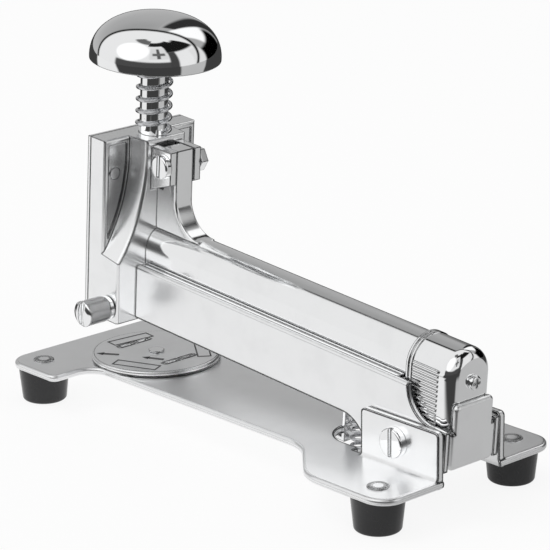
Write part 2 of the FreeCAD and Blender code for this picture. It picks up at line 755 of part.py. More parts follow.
def make_foot_rivets():
    body = new_body("foot_rivets")
    body.AllowCompound = True
    tail_bottom = size.foot_recess_depth - size.rivet_head_height
    levels = [
        ("shanks", tail_bottom, plate_top - tail_bottom, size.rivet_radius),
        ("heads", plate_top, size.rivet_head_height, size.rivet_head_radius),
        ("tails", tail_bottom, size.rivet_head_height, size.rivet_head_radius),
    ]
    for part_name, low, height, radius in levels:
        sketch = new_sketch(body, "rivet_" + part_name, "XY", low)
        for x in (-foot_front, foot_rear):
            for y in (-foot_side, foot_side):
                add_circle(sketch, x, y, radius)
        step = pad(body, sketch, height, "rivet_%s_pad" % part_name)
    round_edges(
        body,
        step,
        size.rivet_head_height * 0.7,
        "rivet_domes",
        lambda edge, middle: near(middle.z, plate_top + size.rivet_head_height, 0.01),
    )
    keep(body, "foot_rivets")


# Turning anvil
disc_bottom = plate_top + size.disc_gap
disc_top = disc_bottom + size.disc_thick


def make_anvil_disc():
    body = new_body("anvil_disc")
    profile = new_sketch(body, "disc_profile", "XZ")
    bore = size.disc_pin_radius + size.pin_fit
    rim = size.disc_radius
    edge = size.disc_edge
    add_loop(
        profile,
        [
            (bore, disc_bottom),
            (rim, disc_bottom),
            (rim, disc_top - edge),
            (rim - edge, disc_top, rim - edge, disc_top - edge, "ccw"),
            (bore, disc_top),
        ],
    )
    revolve(body, profile, "disc_turned")
    grooves = new_sketch(body, "crimp_grooves", "XY", disc_top - size.crimp_depth)
    inner = size.crown_width / 2 - size.crimp_length + size.staple_wire
    outer = size.crown_width / 2 + size.staple_wire
    for centre in (-size.crimp_offset, size.crimp_offset):
        for low, high in ((-outer, -inner), (inner, outer)):
            add_box(grooves, centre - size.crimp_width / 2, centre + size.crimp_width / 2, low, high)
    pocket(body, grooves, size.crimp_depth, "crimp_grooves_cut")
    keep(body, "anvil_disc")
    place(body, x=-disc_front)


def make_anvil_pivot():
    head = rod("anvil_pin_head", size.disc_pin_head, size.rivet_head_height, "z", -disc_front, 0.0, disc_top + size.seat_gap)
    tail_drop = size.plate_thick + size.rivet_head_height * 2
    shank_length = disc_top + size.seat_gap - plate_bottom + size.rivet_head_height * 2
    shank = rod("anvil_pin_shank", size.disc_pin_radius, shank_length, "z", -disc_front, 0.0, plate_top - tail_drop)
    tail = rod("anvil_pin_tail", size.disc_pin_head, size.rivet_head_height, "z", -disc_front, 0.0, plate_top - tail_drop)
    keep(join("anvil_pin", [head, shank, tail]), "anvil_pivot_rivet")
    ring = rod("washer_ring", size.disc_pin_head + 2.0, size.rivet_head_height, "z", -disc_front, 0.0, plate_bottom - size.rivet_head_height)
    hole = rod("washer_hole", size.disc_pin_radius, size.rivet_head_height, "z", -disc_front, 0.0, plate_bottom - size.rivet_head_height)
    keep(subtract("washer", ring, hole), "anvil_washer")


# Pivot of the arm
def make_pivot():
    ear_outer = ear_gap / 2 + size.plate_thick
    nut_thick = size.axle_head_height
    screw = slotted_screw(
        "pivot_axle",
        size.axle_head_radius,
        size.axle_head_height,
        size.axle_radius,
        ear_outer * 2 + nut_thick,
        pivot_back,
        -ear_outer,
        pivot_height,
    )
    keep(screw, "pivot_screw")
    nut = hex_nut("axle_nut", size.axle_head_radius * 2, nut_thick, size.axle_radius, pivot_back, ear_outer, pivot_height)
    keep(nut, "pivot_nut")


# Lift spring and the strap that carries it
def make_lift_spring():
    strap_front = lift_back - size.strap_length / 2
    seat = lift_seat
    outer = size.hole_radius + size.strap_reach + size.strap_land
    inner = size.hole_radius + size.strap_reach
    sheet_thick = size.strap_thick
    body = new_body("spring_strap")
    section = new_sketch(body, "strap_section", "YZ", strap_front)
    top = plate_bottom
    add_loop(
        section,
        [
            (-outer, top),
            (-outer, top - sheet_thick),
            (-inner, top - sheet_thick),
            (-inner, seat - sheet_thick),
            (inner, seat - sheet_thick),
            (inner, top - sheet_thick),
            (outer, top - sheet_thick),
            (outer, top),
            (inner - sheet_thick, top),
            (inner - sheet_thick, seat),
            (sheet_thick - inner, seat),
            (sheet_thick - inner, top),
        ],
    )
    pad(body, section, size.strap_length, "strap_sheet")
    keep(body, "spring_strap")
    reach = pivot_back - lift_back
    arm_level = pivot_height + size.channel_bottom + reach * tilt_tan
    length = arm_level - lift_seat - size.slide_gap * 2 - size.lift_wire
    spring = coil("lift_spring", size.lift_radius, size.lift_wire, length / size.lift_turns, length)
    keep(spring, "lift_spring")
    place(spring, x=lift_back, z=lift_seat)


# Outer channel of the arm
inner_high = size.channel_width / 2 - size.channel_wall
inner_low = inner_high - size.ledge_width


def make_arm_channel():
    body = new_body("arm_channel")
    half = size.channel_width / 2
    side = new_sketch(body, "channel_side", "XZ", -half)
    curve_top_x = size.arm_rear - size.cheek_curve
    curve = channel_top - size.cheek_end_height
    fall = size.channel_bottom + size.cheek_drop
    bend = (size.cheek_slope * size.cheek_slope + fall * fall) / (fall * 4)
    bend_start = -(size.cheek_front + size.cheek_slope)
    bend_middle = bend_start + size.cheek_slope / 2
    bend_level = size.channel_bottom - fall / 2
    add_loop(
        side,
        [
            (-arm_front, size.channel_bottom),
            (bend_start, size.channel_bottom),
            (bend_middle, bend_level, bend_start, size.channel_bottom - bend, "cw"),
            (-size.cheek_front, -size.cheek_drop, -size.cheek_front, bend - size.cheek_drop, "ccw"),
            (size.arm_rear, -size.cheek_drop),
            (size.arm_rear, size.cheek_end_height),
            (size.arm_rear - (size.cheek_curve - curve), size.cheek_end_height),
            (curve_top_x, channel_top, size.arm_rear - (size.cheek_curve - curve), channel_top, "cw"),
            (-arm_front, channel_top),
        ],
    )
    whole = pad(body, side, size.channel_width, "channel_block")
    trough = new_sketch(body, "channel_trough", "YZ", -arm_front)
    add_box(trough, -inner_low, inner_low, size.channel_bottom + size.channel_floor, channel_top)
    step = pocket(body, trough, arm_front + size.arm_rear, "channel_trough_cut")
    ledge = new_sketch(body, "channel_ledge", "YZ", -arm_front)
    add_box(ledge, -inner_high, inner_high, size.ledge_height, channel_top)
    step = pocket(body, ledge, arm_front + size.arm_rear, "channel_ledge_cut")
    tail = new_sketch(body, "channel_tail", "YZ", -size.flange_end)
    add_box(tail, -inner_high, inner_high, -size.cheek_drop, channel_top)
    step = pocket(body, tail, size.flange_end + size.arm_rear, "channel_tail_cut")
    under = new_sketch(body, "channel_under", "YZ", -(size.cheek_front + size.cheek_slope))
    add_box(under, -inner_low, inner_low, -size.cheek_drop, size.channel_bottom)
    pocket(body, under, size.cheek_front + size.cheek_slope + size.arm_rear, "channel_under_cut")
    opening = new_sketch(body, "channel_opening", "YZ", -size.floor_rear)
    add_box(opening, -inner_low, inner_low, 0.0, size.channel_bottom + size.channel_floor)
    step = pocket(body, opening, size.floor_rear + size.arm_rear, "channel_opening_cut")

    def rim(edge, middle):
        return near(middle.z, channel_top) and near(abs(middle.y), half) and middle.x < curve_top_x.number

    round_edges(body, step, size.channel_lip, "channel_rim", rim)
    axle = new_sketch(body, "axle_bores", "XZ", -half)
    add_circle(axle, 0.0, 0.0, size.axle_radius + size.pin_fit)
    pocket(body, axle, size.channel_width, "axle_bores_cut")
    keep(body, "arm_channel", on_arm=True)


# Half-round cover with its gusset web
def make_arm_cover():
    body = new_body("arm_cover")
    half = size.cover_width / 2
    centre = size.cover_top - half
    foot = size.ledge_height
    flange_top = size.ledge_height + size.flange_thick
    flange_half = inner_high - size.seat_gap
    outer = new_sketch(body, "cover_section", "YZ", -arm_front)
    add_loop(
        outer,
        [
            (-half, foot),
            (half, foot),
            (half, centre),
            (-half, centre, 0.0, centre, "ccw"),
        ],
    )
    pad(body, outer, arm_front - size.cover_rear, "cover_arch")
    flange = new_sketch(body, "cover_flange", "YZ", -arm_front)
    add_box(flange, -flange_half, flange_half, foot, flange_top)
    pad(body, flange, arm_front - size.flange_end, "cover_flange_pad")
    web = new_sketch(body, "web_side", "XZ", -size.web_thick / 2)
    curve = size.web_curve
    add_loop(
        web,
        [
            (-arm_front, centre),
            (curve - web_rear, centre),
            (curve - web_rear, size.cover_top - 0.2),
            (-web_rear, size.cover_top - 0.2 + curve, curve - web_rear, size.cover_top - 0.2 + curve, "cw"),
            (-web_rear, lug_top),
            (-web_step, lug_top),
            (-web_step, web_step_level),
            (-arm_front, web_step_level),
        ],
    )
    step = pad(body, web, size.web_thick, "web_pad")
    inside = half - size.cover_wall
    hollow = new_sketch(body, "cover_hollow", "YZ", -arm_front)
    add_loop(
        hollow,
        [
            (-inside, foot),
            (inside, foot),
            (inside, centre),
            (-inside, centre, 0.0, centre, "ccw"),
        ],
    )
    step = pocket(body, hollow, arm_front, "cover_hollow_cut")
    bolt = new_sketch(body, "web_bolt_hole", "XZ", -size.web_thick / 2)
    add_circle(bolt, -clamp_ahead, clamp_height, size.clamp_radius)
    step = pocket(body, bolt, size.web_thick, "web_bolt_hole_cut")

    def web_edge(edge, middle):
        above = middle.z > web_step_level.number + 0.5
        return near(abs(middle.y), size.web_thick / 2) and above and len(edge.Vertexes) == 2

    round_edges(body, step, size.web_edge, "web_edges", web_edge)
    keep(body, "arm_cover", on_arm=True)


# Head: wings, flared block, chamber, tunnel and clamp lugs
def make_head():
    body = new_body("head_casting")
    half = size.head_width / 2
    front = casting_front
    wings = new_sketch(body, "wing_outline", "YZ", -front)
    add_box(wings, -half, half, -size.head_bottom, size.head_top)
    slab = pad(body, wings, front - slab_rear, "wing_slab")

    def wing_edge(edge, middle):
        return near(middle.x, -slab_rear) and (near(abs(middle.y), half) or near(middle.z, size.head_top))

    round_edges(body, slab, size.head_edge, "wing_edges", wing_edge)

    def flare(name, offset, grow):
        sketch = new_sketch(body, name, "YZ", offset)
        upper = size.block_top_width / 2 + grow
        radius = size.flare_radius
        out = half - upper
        drop = root(radius * radius - (radius - out) * (radius - out))
        low = flare_start - drop
        add_loop(
            sketch,
            [
                (-half, -size.head_bottom),
                (half, -size.head_bottom),
                (half, low),
                (upper, flare_start, upper + radius, flare_start, "cw"),
                (upper, size.head_top),
                (-upper, size.head_top),
                (-upper, flare_start),
                (-half, low, -(upper + radius), flare_start, "cw"),
            ],
        )
        return sketch

    wide = flare("flare_at_wings", -(slab_rear + size.head_edge + size.seat_gap), size.block_draft)
    narrow = flare("flare_at_rear", -arm_front, 0.0)
    loft = body.newObject("PartDesign::AdditiveLoft", "flared_block")
    loft.Profile = wide
    loft.Sections = [narrow]
    loft.Ruled = True
    document.recompute()
    panel = new_sketch(body, "wing_panels", "YZ", -(slab_rear + size.panel_depth))
    inner = size.block_top_width / 2 + size.block_draft + size.panel_inner_border
    outer = half - size.panel_border
    bend = size.flare_radius - size.panel_inner_border
    reach = bend - (outer - inner)
    tip = flare_start - root(bend * bend - reach * reach)
    top = size.head_top - size.panel_border
    add_loop(panel, [(inner, top), (outer, top), (outer, tip), (inner, flare_start, inner + bend, flare_start, "cw")])
    add_loop(
        panel,
        [(-outer, top), (-inner, top), (-inner, flare_start), (-outer, tip, -(inner + bend), flare_start, "cw")],
    )
    pocket(body, panel, size.panel_depth, "wing_panels_cut")
    nose = new_sketch(body, "nose_outline", "YZ", -front)
    add_box(nose, -size.nose_half_width, size.nose_half_width, -(size.head_bottom + size.nose_drop), tunnel_floor)
    step = pad(body, nose, size.nose_depth, "nose")

    def block_edge(edge, middle):
        return near(middle.x, -arm_front) and middle.z > 0.5 - size.head_bottom.number

    round_edges(body, step, size.head_edge, "block_edges", block_edge)
    for side, name in ((-1, "near"), (1, "far")):
        low_y = lug_gap / 2 if side > 0 else -(lug_gap / 2 + size.lug_thick)
        lug = new_sketch(body, "lug_%s" % name, "XZ", -(low_y + size.lug_thick))
        add_loop(
            lug,
            [
                (-(arm_front + 1), lug_top - size.lug_root_height),
                (-lug_rear, lug_top - size.lug_end_height),
                (-lug_rear, lug_top),
                (-(arm_front + 1), lug_top),
            ],
        )
        step = pad(body, lug, size.lug_thick, "lug_%s_pad" % name)

    chamber = new_sketch(body, "chamber_outline", "YZ", -front)
    add_box(chamber, -size.chamber_half_width, size.chamber_half_width, chamber_bottom, chamber_top)
    pocket(body, chamber, front - chamber_rear, "chamber_cut")
    blade = new_sketch(body, "blade_slot", "YZ", -front)
    add_box(
        blade,
        -(blade_half_width + size.slide_gap),
        blade_half_width + size.slide_gap,
        -(size.head_bottom + size.nose_drop),
        chamber_bottom,
    )
    pocket(body, blade, size.blade_thick + size.slide_gap * 2, "blade_slot_cut")
    tunnel = new_sketch(body, "tunnel_outline", "YZ", -front)
    add_box(tunnel, -tunnel_half_width, tunnel_half_width, tunnel_floor, tunnel_top)
    pocket(body, tunnel, front - arm_front, "tunnel_cut")
    bore = new_sketch(body, "shaft_bore", "XY", chamber_top - 1)
    add_circle(bore, -shaft_ahead, 0.0, size.shaft_radius + size.shaft_fit)
    pocket(body, bore, size.head_top - chamber_top + 2, "shaft_bore_cut")
    screw = new_sketch(body, "thumb_screw_hole", "XZ", half - size.screw_depth - 1)
    add_circle(screw, -screw_ahead, size.screw_height, size.screw_shank + size.pin_fit)
    pocket(body, screw, size.screw_depth + 1, "thumb_screw_hole_cut")
    bolt = new_sketch(body, "lug_bolt_hole", "XZ", -half)
    add_circle(bolt, -clamp_ahead, clamp_height, size.clamp_radius)
    pocket(body, bolt, size.head_width, "lug_bolt_hole_cut")
    rivets = new_sketch(body, "wing_rivet_holes", "YZ", -front)
    for y in (-rivet_side, rivet_side):
        add_circle(rivets, y, rivet_level, size.rivet_radius)
    pocket(body, rivets, front - slab_rear, "wing_rivet_holes_cut")
    keep(body, "head_casting", on_arm=True)


def make_front_plate():
    body = new_body("front_plate")
    half = size.head_width / 2
    outline = new_sketch(body, "front_plate_outline", "YZ", -head_front)
    add_loop(
        outline,
        [
            (-half, -size.head_bottom),
            (-size.nose_half_width, -size.head_bottom),
            (-size.nose_half_width, -(size.head_bottom + size.nose_drop)),
            (size.nose_half_width, -(size.head_bottom + size.nose_drop)),
            (size.nose_half_width, -size.head_bottom),
            (half, -size.head_bottom),
            (half, size.head_top),
            (-half, size.head_top),
        ],
    )
    plate = pad(body, outline, size.front_plate_thick, "front_plate_sheet")

    def front_edge(edge, middle):
        return near(middle.x, -head_front) and (near(abs(middle.y), half) or near(middle.z, size.head_top))

    round_edges(body, plate, size.head_edge, "front_plate_edges", front_edge)
    holes = new_sketch(body, "front_plate_holes", "YZ", -head_front)
    for y in (-rivet_side, rivet_side):
        add_circle(holes, y, rivet_level, size.rivet_radius)
    pocket(body, holes, size.front_plate_thick, "front_plate_holes_cut")
    keep(body, "front_plate", on_arm=True)
    rivets = new_body("head_rivets")
    rivets.AllowCompound = True
    rise = size.rivet_head_height
    panel_floor = -(slab_rear + size.panel_depth)
    through = head_front + panel_floor
    for part_name, start, length, radius in (
        ("shanks", -head_front, through, size.rivet_radius),
        ("front_heads", -(head_front + rise), rise, size.rivet_radius + 1.0),
        ("rear_heads", panel_floor, rise, size.rivet_radius + 0.3),
    ):
        sketch = new_sketch(rivets, "head_rivet_" + part_name, "YZ", start)
        for y in (-rivet_side, rivet_side):
            add_circle(sketch, y, rivet_level, radius)
        pad(rivets, sketch, length, "head_rivet_%s_pad" % part_name)
    keep(rivets, "head_rivets", on_arm=True)


def make_clamp():
    outer = lug_gap / 2 + size.lug_thick
    bolt = slotted_screw(
        "clamp",
        size.clamp_head_radius,
        size.clamp_head_height,
        size.clamp_radius,
        outer * 2 + size.nut_thick,
        -clamp_ahead,
        -outer,
        clamp_height,
    )
    keep(bolt, "clamp_bolt", on_arm=True)
    nut = hex_nut("clamp_hex", size.nut_flats, size.nut_thick, size.clamp_radius, -clamp_ahead, outer, clamp_height)
    keep(nut, "clamp_nut", on_arm=True)


# Stop hook under the channel
def make_stop_hook():
    body = new_body("stop_hook")
    side = new_sketch(body, "hook_side", "XZ", -size.hook_width / 2)
    back = size.hook_thick - hook_ahead
    toe = -(hook_depth + size.hook_thick)
    add_loop(
        side,
        [
            (-hook_ahead, size.channel_bottom),
            (-hook_ahead, -hook_depth),
            (-(hook_ahead + size.hook_reach), -hook_depth),
            (-(hook_ahead + size.hook_reach), toe),
            (back, toe),
            (back, size.channel_bottom),
        ],
    )
    pad(body, side, size.hook_width, "hook_strip")
    keep(body, "stop_hook", on_arm=True)


# Plunger: shaft, crosshead, blade and knob
def make_plunger():
    x = -shaft_ahead
    bottom = crosshead_bottom
    shaft = rod("shaft_rod", size.shaft_radius, knob_top - size.knob_wall * 2 - bottom, "z")
    keep(shaft, "plunger_shaft")
    on_arm_at(shaft, x, bottom)
    front = casting_front - size.slide_gap
    rear = chamber_rear + size.slide_gap
    side = size.chamber_half_width - size.slide_gap
    body = block("crosshead_body", -front, -side, bottom, front - rear, side * 2, size.crosshead_height)
    bore = rod("crosshead_bore", size.shaft_radius, size.crosshead_height, "z", x, 0.0, bottom)
    bored = subtract("crosshead_bored", body, bore)
    notch = block(
        "crosshead_notch",
        -front,
        -blade_half_width,
        bottom,
        size.blade_thick,
        blade_half_width * 2,
        size.crosshead_height,
    )
    keep(subtract("crosshead", bored, notch), "crosshead", on_arm=True)
    height = bottom + size.crosshead_height - blade_bottom
    blade = block("blade", 0.0, 0.0, 0.0, size.blade_thick, blade_half_width * 2, height)
    keep(blade, "driver_blade")
    on_arm_at(blade, -front, blade_bottom, -blade_half_width)


def crown_line(inset):
    """Key points of the knob's outline, moved inwards: side, shoulder centre, crown centre, tangent point."""
    side_top = knob_rim + size.knob_side
    rise = knob_top - side_top - size.knob_shoulder
    centre_u = size.knob_radius - size.knob_shoulder
    sink = (centre_u * centre_u - rise * rise) / (rise * 2)
    reach = knob_top - side_top + sink - size.knob_shoulder
    share = (size.knob_shoulder - inset) / reach
    return {
        "side_top": side_top,
        "shoulder_u": centre_u,
        "crown_v": side_top - sink,
        "meet_u": centre_u + centre_u * share,
        "meet_v": side_top + sink * share,
        "crown_radius": knob_top - inset - side_top + sink,
    }


def make_knob():
    body = new_body("knob_shell")
    profile = new_sketch(body, "knob_profile", "XZ")
    wall = size.knob_wall
    outer = crown_line(0.0)
    inner = crown_line(wall)
    side_top = outer["side_top"]
    shoulder = outer["shoulder_u"]
    crown = outer["crown_v"]
    add_loop(
        profile,
        [
            (0.0, knob_top),
            (outer["meet_u"], outer["meet_v"], 0.0, crown, "cw"),
            (size.knob_radius, side_top, shoulder, side_top, "cw"),
            (size.knob_radius, knob_rim),
            (size.knob_radius - wall, knob_rim),
            (size.knob_radius - wall, side_top),
            (inner["meet_u"], inner["meet_v"], shoulder, side_top, "ccw"),
            (0.0, knob_top - wall, 0.0, crown, "ccw"),
        ],
    )
    revolve(body, profile, "knob_turned")
    keep(body, "knob_shell")
    on_arm_at(body, -shaft_ahead, 0.0)
    hub = new_body("knob_hub")
    section = new_sketch(hub, "hub_profile", "XZ")
    dome = inner["crown_radius"]
    bore = size.shaft_radius
    edge_level = crown + root(dome * dome - size.hub_radius * size.hub_radius)
    bore_level = crown + root(dome * dome - bore * bore)
    add_loop(
        section,
        [
            (bore, hub_bottom),
            (size.hub_radius, hub_bottom),
            (size.hub_radius, edge_level),
            (bore, bore_level, 0.0, crown, "ccw"),
        ],
    )
    revolve(hub, section, "hub_turned")
    keep(hub, "knob_hub")
    on_arm_at(hub, -shaft_ahead, 0.0)
    height = hub_bottom - size.head_top - size.spring_wire - size.seat_gap
    spring = coil("return_spring", size.spring_radius, size.spring_wire, size.spring_pitch, height)
    keep(spring, "return_spring")
    on_arm_at(spring, -shaft_ahead, size.head_top + size.seat_gap / 2)


# Thumb screw on the side of the head
def make_thumb_screw():
    body = new_body("thumb_screw")
    profile = new_sketch(body, "thumb_screw_profile", "YZ")
    start = -(size.head_width / 2 + size.slide_gap)
    collar = start - size.collar_length
    rim = collar - size.knurl_length
    end = rim - size.thumb_dome
    dome = (size.knurl_radius * size.knurl_radius + size.thumb_dome * size.thumb_dome) / (size.thumb_dome * 2)
    add_loop(
        profile,
        [
            (start + size.screw_depth, 0.0),
            (start + size.screw_depth, size.screw_shank),
            (start, size.screw_shank),
            (start, size.collar_radius),
            (collar, size.collar_radius),
            (collar, size.knurl_radius),
            (rim, size.knurl_radius),
            (end, 0.0, end + dome, 0.0, "ccw"),
        ],
    )
    revolve(body, profile, "thumb_screw_turned", "H_Axis")
    slot = new_sketch(body, "thumb_screw_slot", "XZ", -(end + size.thumb_slot_depth))
    half = size.thumb_slot_width / 2
    add_box(slot, -half, half, -size.knurl_radius, size.knurl_radius)
    pocket(body, slot, size.thumb_slot_depth, "thumb_screw_slot_cut")
    keep(body, "thumb_screw")
    on_arm_at(body, -screw_ahead, size.screw_height)


# Drawer: cap, tail plate, guide rod, rail and staples
def add_arch(sketch, half, low, centre):
    """A tunnel shape: flat below, half round above the centre's level."""
    return add_loop(sketch, [(-half, low), (half, low), (half, centre), (-half, centre, 0.0, centre, "ccw")])


def make_end_cap():
    body = new_body("end_cap")
    half = cap_width / 2
    centre = size.cover_top + size.cap_crown - half
    length = size.cap_front + size.cap_rear
    spigot_half = size.cover_width / 2 - size.cover_wall - size.slide_gap
    hollow_half = spigot_half - size.cover_wall
    arch = new_sketch(body, "cap_arch", "YZ", -size.cap_front)
    add_arch(arch, half, cap_bottom, centre)
    step = pad(body, arch, length, "cap_block")

    def rear_edge(edge, middle):
        return near(middle.x, size.cap_rear) and middle.z > cap_bottom.number + 0.1

    round_edges(body, step, size.cap_round, "cap_rounding", rear_edge)
    for number, start in ((1, 0.0), (2, size.cap_collar * 0.62)):
        ring = new_sketch(body, "collar_ring_%d" % number, "YZ", start - size.cap_front)
        add_arch(ring, half + size.collar_rise, cap_bottom, centre)
        pad(body, ring, size.cap_collar * 0.38, "collar_ring_%d_pad" % number)
    rib = new_sketch(body, "grip_rib", "XZ", -(half + size.rib_rise))
    low = cap_bottom + size.rib_width / 2
    rib_start = size.cap_collar + 0.3 - size.cap_front
    add_box(rib, rib_start, rib_start + size.rib_length, low, low + size.rib_width)
    first = pad(body, rib, (half + size.rib_rise) * 2, "grip_rib_pad")
    document.recompute()
    pattern = body.newObject("PartDesign::LinearPattern", "grip_ribs")
    pattern.Originals = [first]
    pattern.Direction = ([item for item in body.Origin.OriginFeatures if item.Role == "Z_Axis"][0], [""])
    bind(pattern, "Length", size.rib_pitch * (size.rib_count - 1))
    pattern.setExpression("Occurrences", size.rib_count.text)
    body.Tip = pattern
    document.recompute()
    spigot = new_sketch(body, "cap_spigot", "YZ", -(size.cap_front + size.spigot_length))
    add_arch(spigot, spigot_half, size.ledge_height, size.cover_top - size.cover_width / 2)
    pad(body, spigot, size.spigot_length, "cap_spigot_pad")
    hollow = new_sketch(body, "cap_hollow", "YZ", -(size.cap_front + size.spigot_length))
    add_arch(hollow, hollow_half, rail_top, size.cover_top - size.cover_width / 2)
    pocket(body, hollow, size.spigot_length + length - size.cap_wall, "cap_hollow_cut")
    slot = new_sketch(body, "cap_rail_slot", "YZ", -size.cap_front)
    add_box(slot, -rail_width / 2, rail_width / 2, cap_bottom, rail_top)
    pocket(body, slot, length, "cap_rail_slot_cut")
    seat = new_sketch(body, "guide_rod_seat", "YZ", size.cap_rear - size.cap_wall)
    add_circle(seat, 0.0, rod_level, size.rod_radius)
    pocket(body, seat, size.cap_wall / 2, "guide_rod_seat_cut")
    keep(body, "end_cap", on_arm=True)


def make_cap_screw():
    rear = size.cap_rear
    level = rod_level
    head = rod("cap_screw_head", size.cap_screw_radius, size.cap_screw_rise, "x", rear, 0.0, level)
    rounded = round_solid(
        "cap_screw_rounded",
        head,
        size.cap_screw_rise * 0.55,
        lambda edge, middle: near(middle.x, rear + size.cap_screw_rise) and len(edge.Vertexes) == 1,
    )
    top = rear + size.cap_screw_rise - 0.9
    arm = size.cap_screw_radius * 0.62
    across = block("cross_wide", top, -arm, level - 0.35, 0.9, arm * 2, 0.7)
    upright = block("cross_tall", top, -0.35, level - arm, 0.9, 0.7, arm * 2)
    keep(subtract("cap_screw_cross", rounded, join("cross", [across, upright])), "cap_screw", on_arm=True)


def make_tail_plate():
    body = new_body("tail_plate")
    half = inner_high - size.tail_play
    rear = size.cap_rear + size.tail_depth
    wall = size.tail_sheet

    def outline(sketch, inset):
        wide = half - inset
        narrow = wide - size.tail_step
        low = inset - size.cheek_drop
        step = size.tail_step_height - inset
        top = size.tail_top - inset
        right = [(wide, low), (wide, step), (narrow, step), (narrow, top)]
        add_loop(sketch, right + [(-u, v) for u, v in reversed(right)])

    face = new_sketch(body, "tail_outline", "YZ", size.cap_rear)
    outline(face, 0.0)
    step = pad(body, face, size.tail_depth, "tail_block")

    def along(edge, middle):
        lower = near(abs(middle.y), half) and near(middle.z, -size.cheek_drop)
        return lower or near(abs(middle.y), half - size.tail_step) and near(middle.z, size.tail_top)

    def face_edge(edge, middle):
        return near(middle.x, rear)

    step = round_edges(body, step, size.tail_corner, "tail_corners", along)
    step = round_edges(body, step, size.tail_edge, "tail_face_edges", face_edge)
    pan = new_sketch(body, "tail_pan", "YZ", size.cap_rear)
    outline(pan, wall)
    pocket(body, pan, size.tail_depth - wall, "tail_pan_cut")
    keep(body, "tail_plate", on_arm=True)


def make_rail():
    body = new_body("staple_rail")
    half = rail_width / 2
    rear = size.cap_rear + size.tail_depth - size.tail_sheet
    section = new_sketch(body, "rail_section", "YZ", -rail_front)
    wall = size.rail_wall
    add_loop(
        section,
        [
            (-half, rail_bottom),
            (wall - half, rail_bottom),
            (wall - half, rail_top - wall),
            (half - wall, rail_top - wall),
            (half - wall, rail_bottom),
            (half, rail_bottom),
            (half, rail_top),
            (-half, rail_top),
        ],
    )
    pad(body, section, rail_front + rear, "rail_sheet")
    keep(body, "staple_rail", on_arm=True)
    strip = new_body("staple_strip")
    profile = new_sketch(strip, "staple_section", "YZ", -(rail_front + size.slide_gap))
    outer = size.crown_width / 2
    wire = size.staple_wire
    top = rail_top + wire
    add_loop(
        profile,
        [
            (-outer, leg_bottom),
            (wire - outer, leg_bottom),
            (wire - outer, rail_top),
            (outer - wire, rail_top),
            (outer - wire, leg_bottom),
            (outer, leg_bottom),
            (outer, top),
            (-outer, top),
        ],
    )
    pad(strip, profile, size.strip_length, "staple_wires")
    keep(strip, "staple_strip", on_arm=True)


def make_guide_rod():
    level = rod_level
    rear = size.cap_rear - size.cap_wall / 2
    shank = rod("guide_shank", size.rod_radius, rod_front + rear, "x", -rod_front, 0.0, level)
    collar = rod("guide_collar", size.rod_collar_radius, size.rod_collar_length, "x", -rod_front, 0.0, level)
    keep(join("guide", [shank, collar]), "guide_rod", on_arm=True)


def make_pusher():
    body = new_body("staple_pusher")
    start = size.strip_length - rail_front
    inner = rail_width / 2 + size.slide_gap
    outer = inner + size.pusher_skirt
    neck = size.pusher_neck
    shoulder = rail_top + size.pusher_length / 2
    low = rail_bottom + size.rail_wall / 2
    over = rail_top + size.slide_gap
    section = new_sketch(body, "pusher_section", "YZ", start)
    add_loop(
        section,
        [
            (-outer, low),
            (-inner, low),
            (-inner, over),
            (inner, over),
            (inner, low),
            (outer, low),
            (outer, shoulder),
            (neck, shoulder + outer - neck),
            (neck, pusher_top),
            (-neck, pusher_top),
            (-neck, shoulder + outer - neck),
            (-outer, shoulder),
        ],
    )
    pad(body, section, size.pusher_length, "pusher_block")
    bore = new_sketch(body, "pusher_bore", "YZ", start)
    add_circle(bore, 0.0, rod_level, size.rod_radius + size.pin_fit)
    pocket(body, bore, size.pusher_length, "pusher_bore_cut")
    keep(body, "staple_pusher", on_arm=True)
    spring_start = start + size.pusher_length + size.seat_gap
    length = size.cap_rear - size.cap_wall - spring_start - size.seat_gap - size.feed_wire
    spring = coil("feed_spring", size.feed_radius, size.feed_wire, length / size.feed_turns, length, "H_Axis")
    keep(spring, "feed_spring")
    on_arm_at(spring, spring_start, rod_level)


# Export
def export_all():
    document.recompute()
    for item in document.Objects:
        if "Invalid" in item.State or "Error" in item.State:
            raise RuntimeError(item.Label + " failed")
    for item in nodes:
        if item.Shape.isNull() or not item.Shape.isValid():
            raise RuntimeError(item.Label + " has no valid shape")
    os.makedirs("parts", exist_ok=True)
    for item in nodes:
        item.Shape.exportStep(os.path.join("parts", item.Label + ".step"))


make_base_plate()
for along, x in (("front", -foot_front), ("rear", foot_rear)):
    for side, y in (("near", -foot_side), ("far", foot_side)):
        make_foot("foot_%s_%s" % (along, side), x, y)
make_foot_rivets()
make_anvil_disc()
make_anvil_pivot()
make_pivot()
make_lift_spring()
make_arm_channel()
make_arm_cover()
make_head()
make_front_plate()
make_clamp()
make_stop_hook()
make_plunger()
make_knob()
make_thumb_screw()
make_end_cap()
make_cap_screw()
make_tail_plate()
make_rail()
make_guide_rod()
make_pusher()
export_all()
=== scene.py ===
import json
import math

import bpy
from mathutils import Matrix, Vector


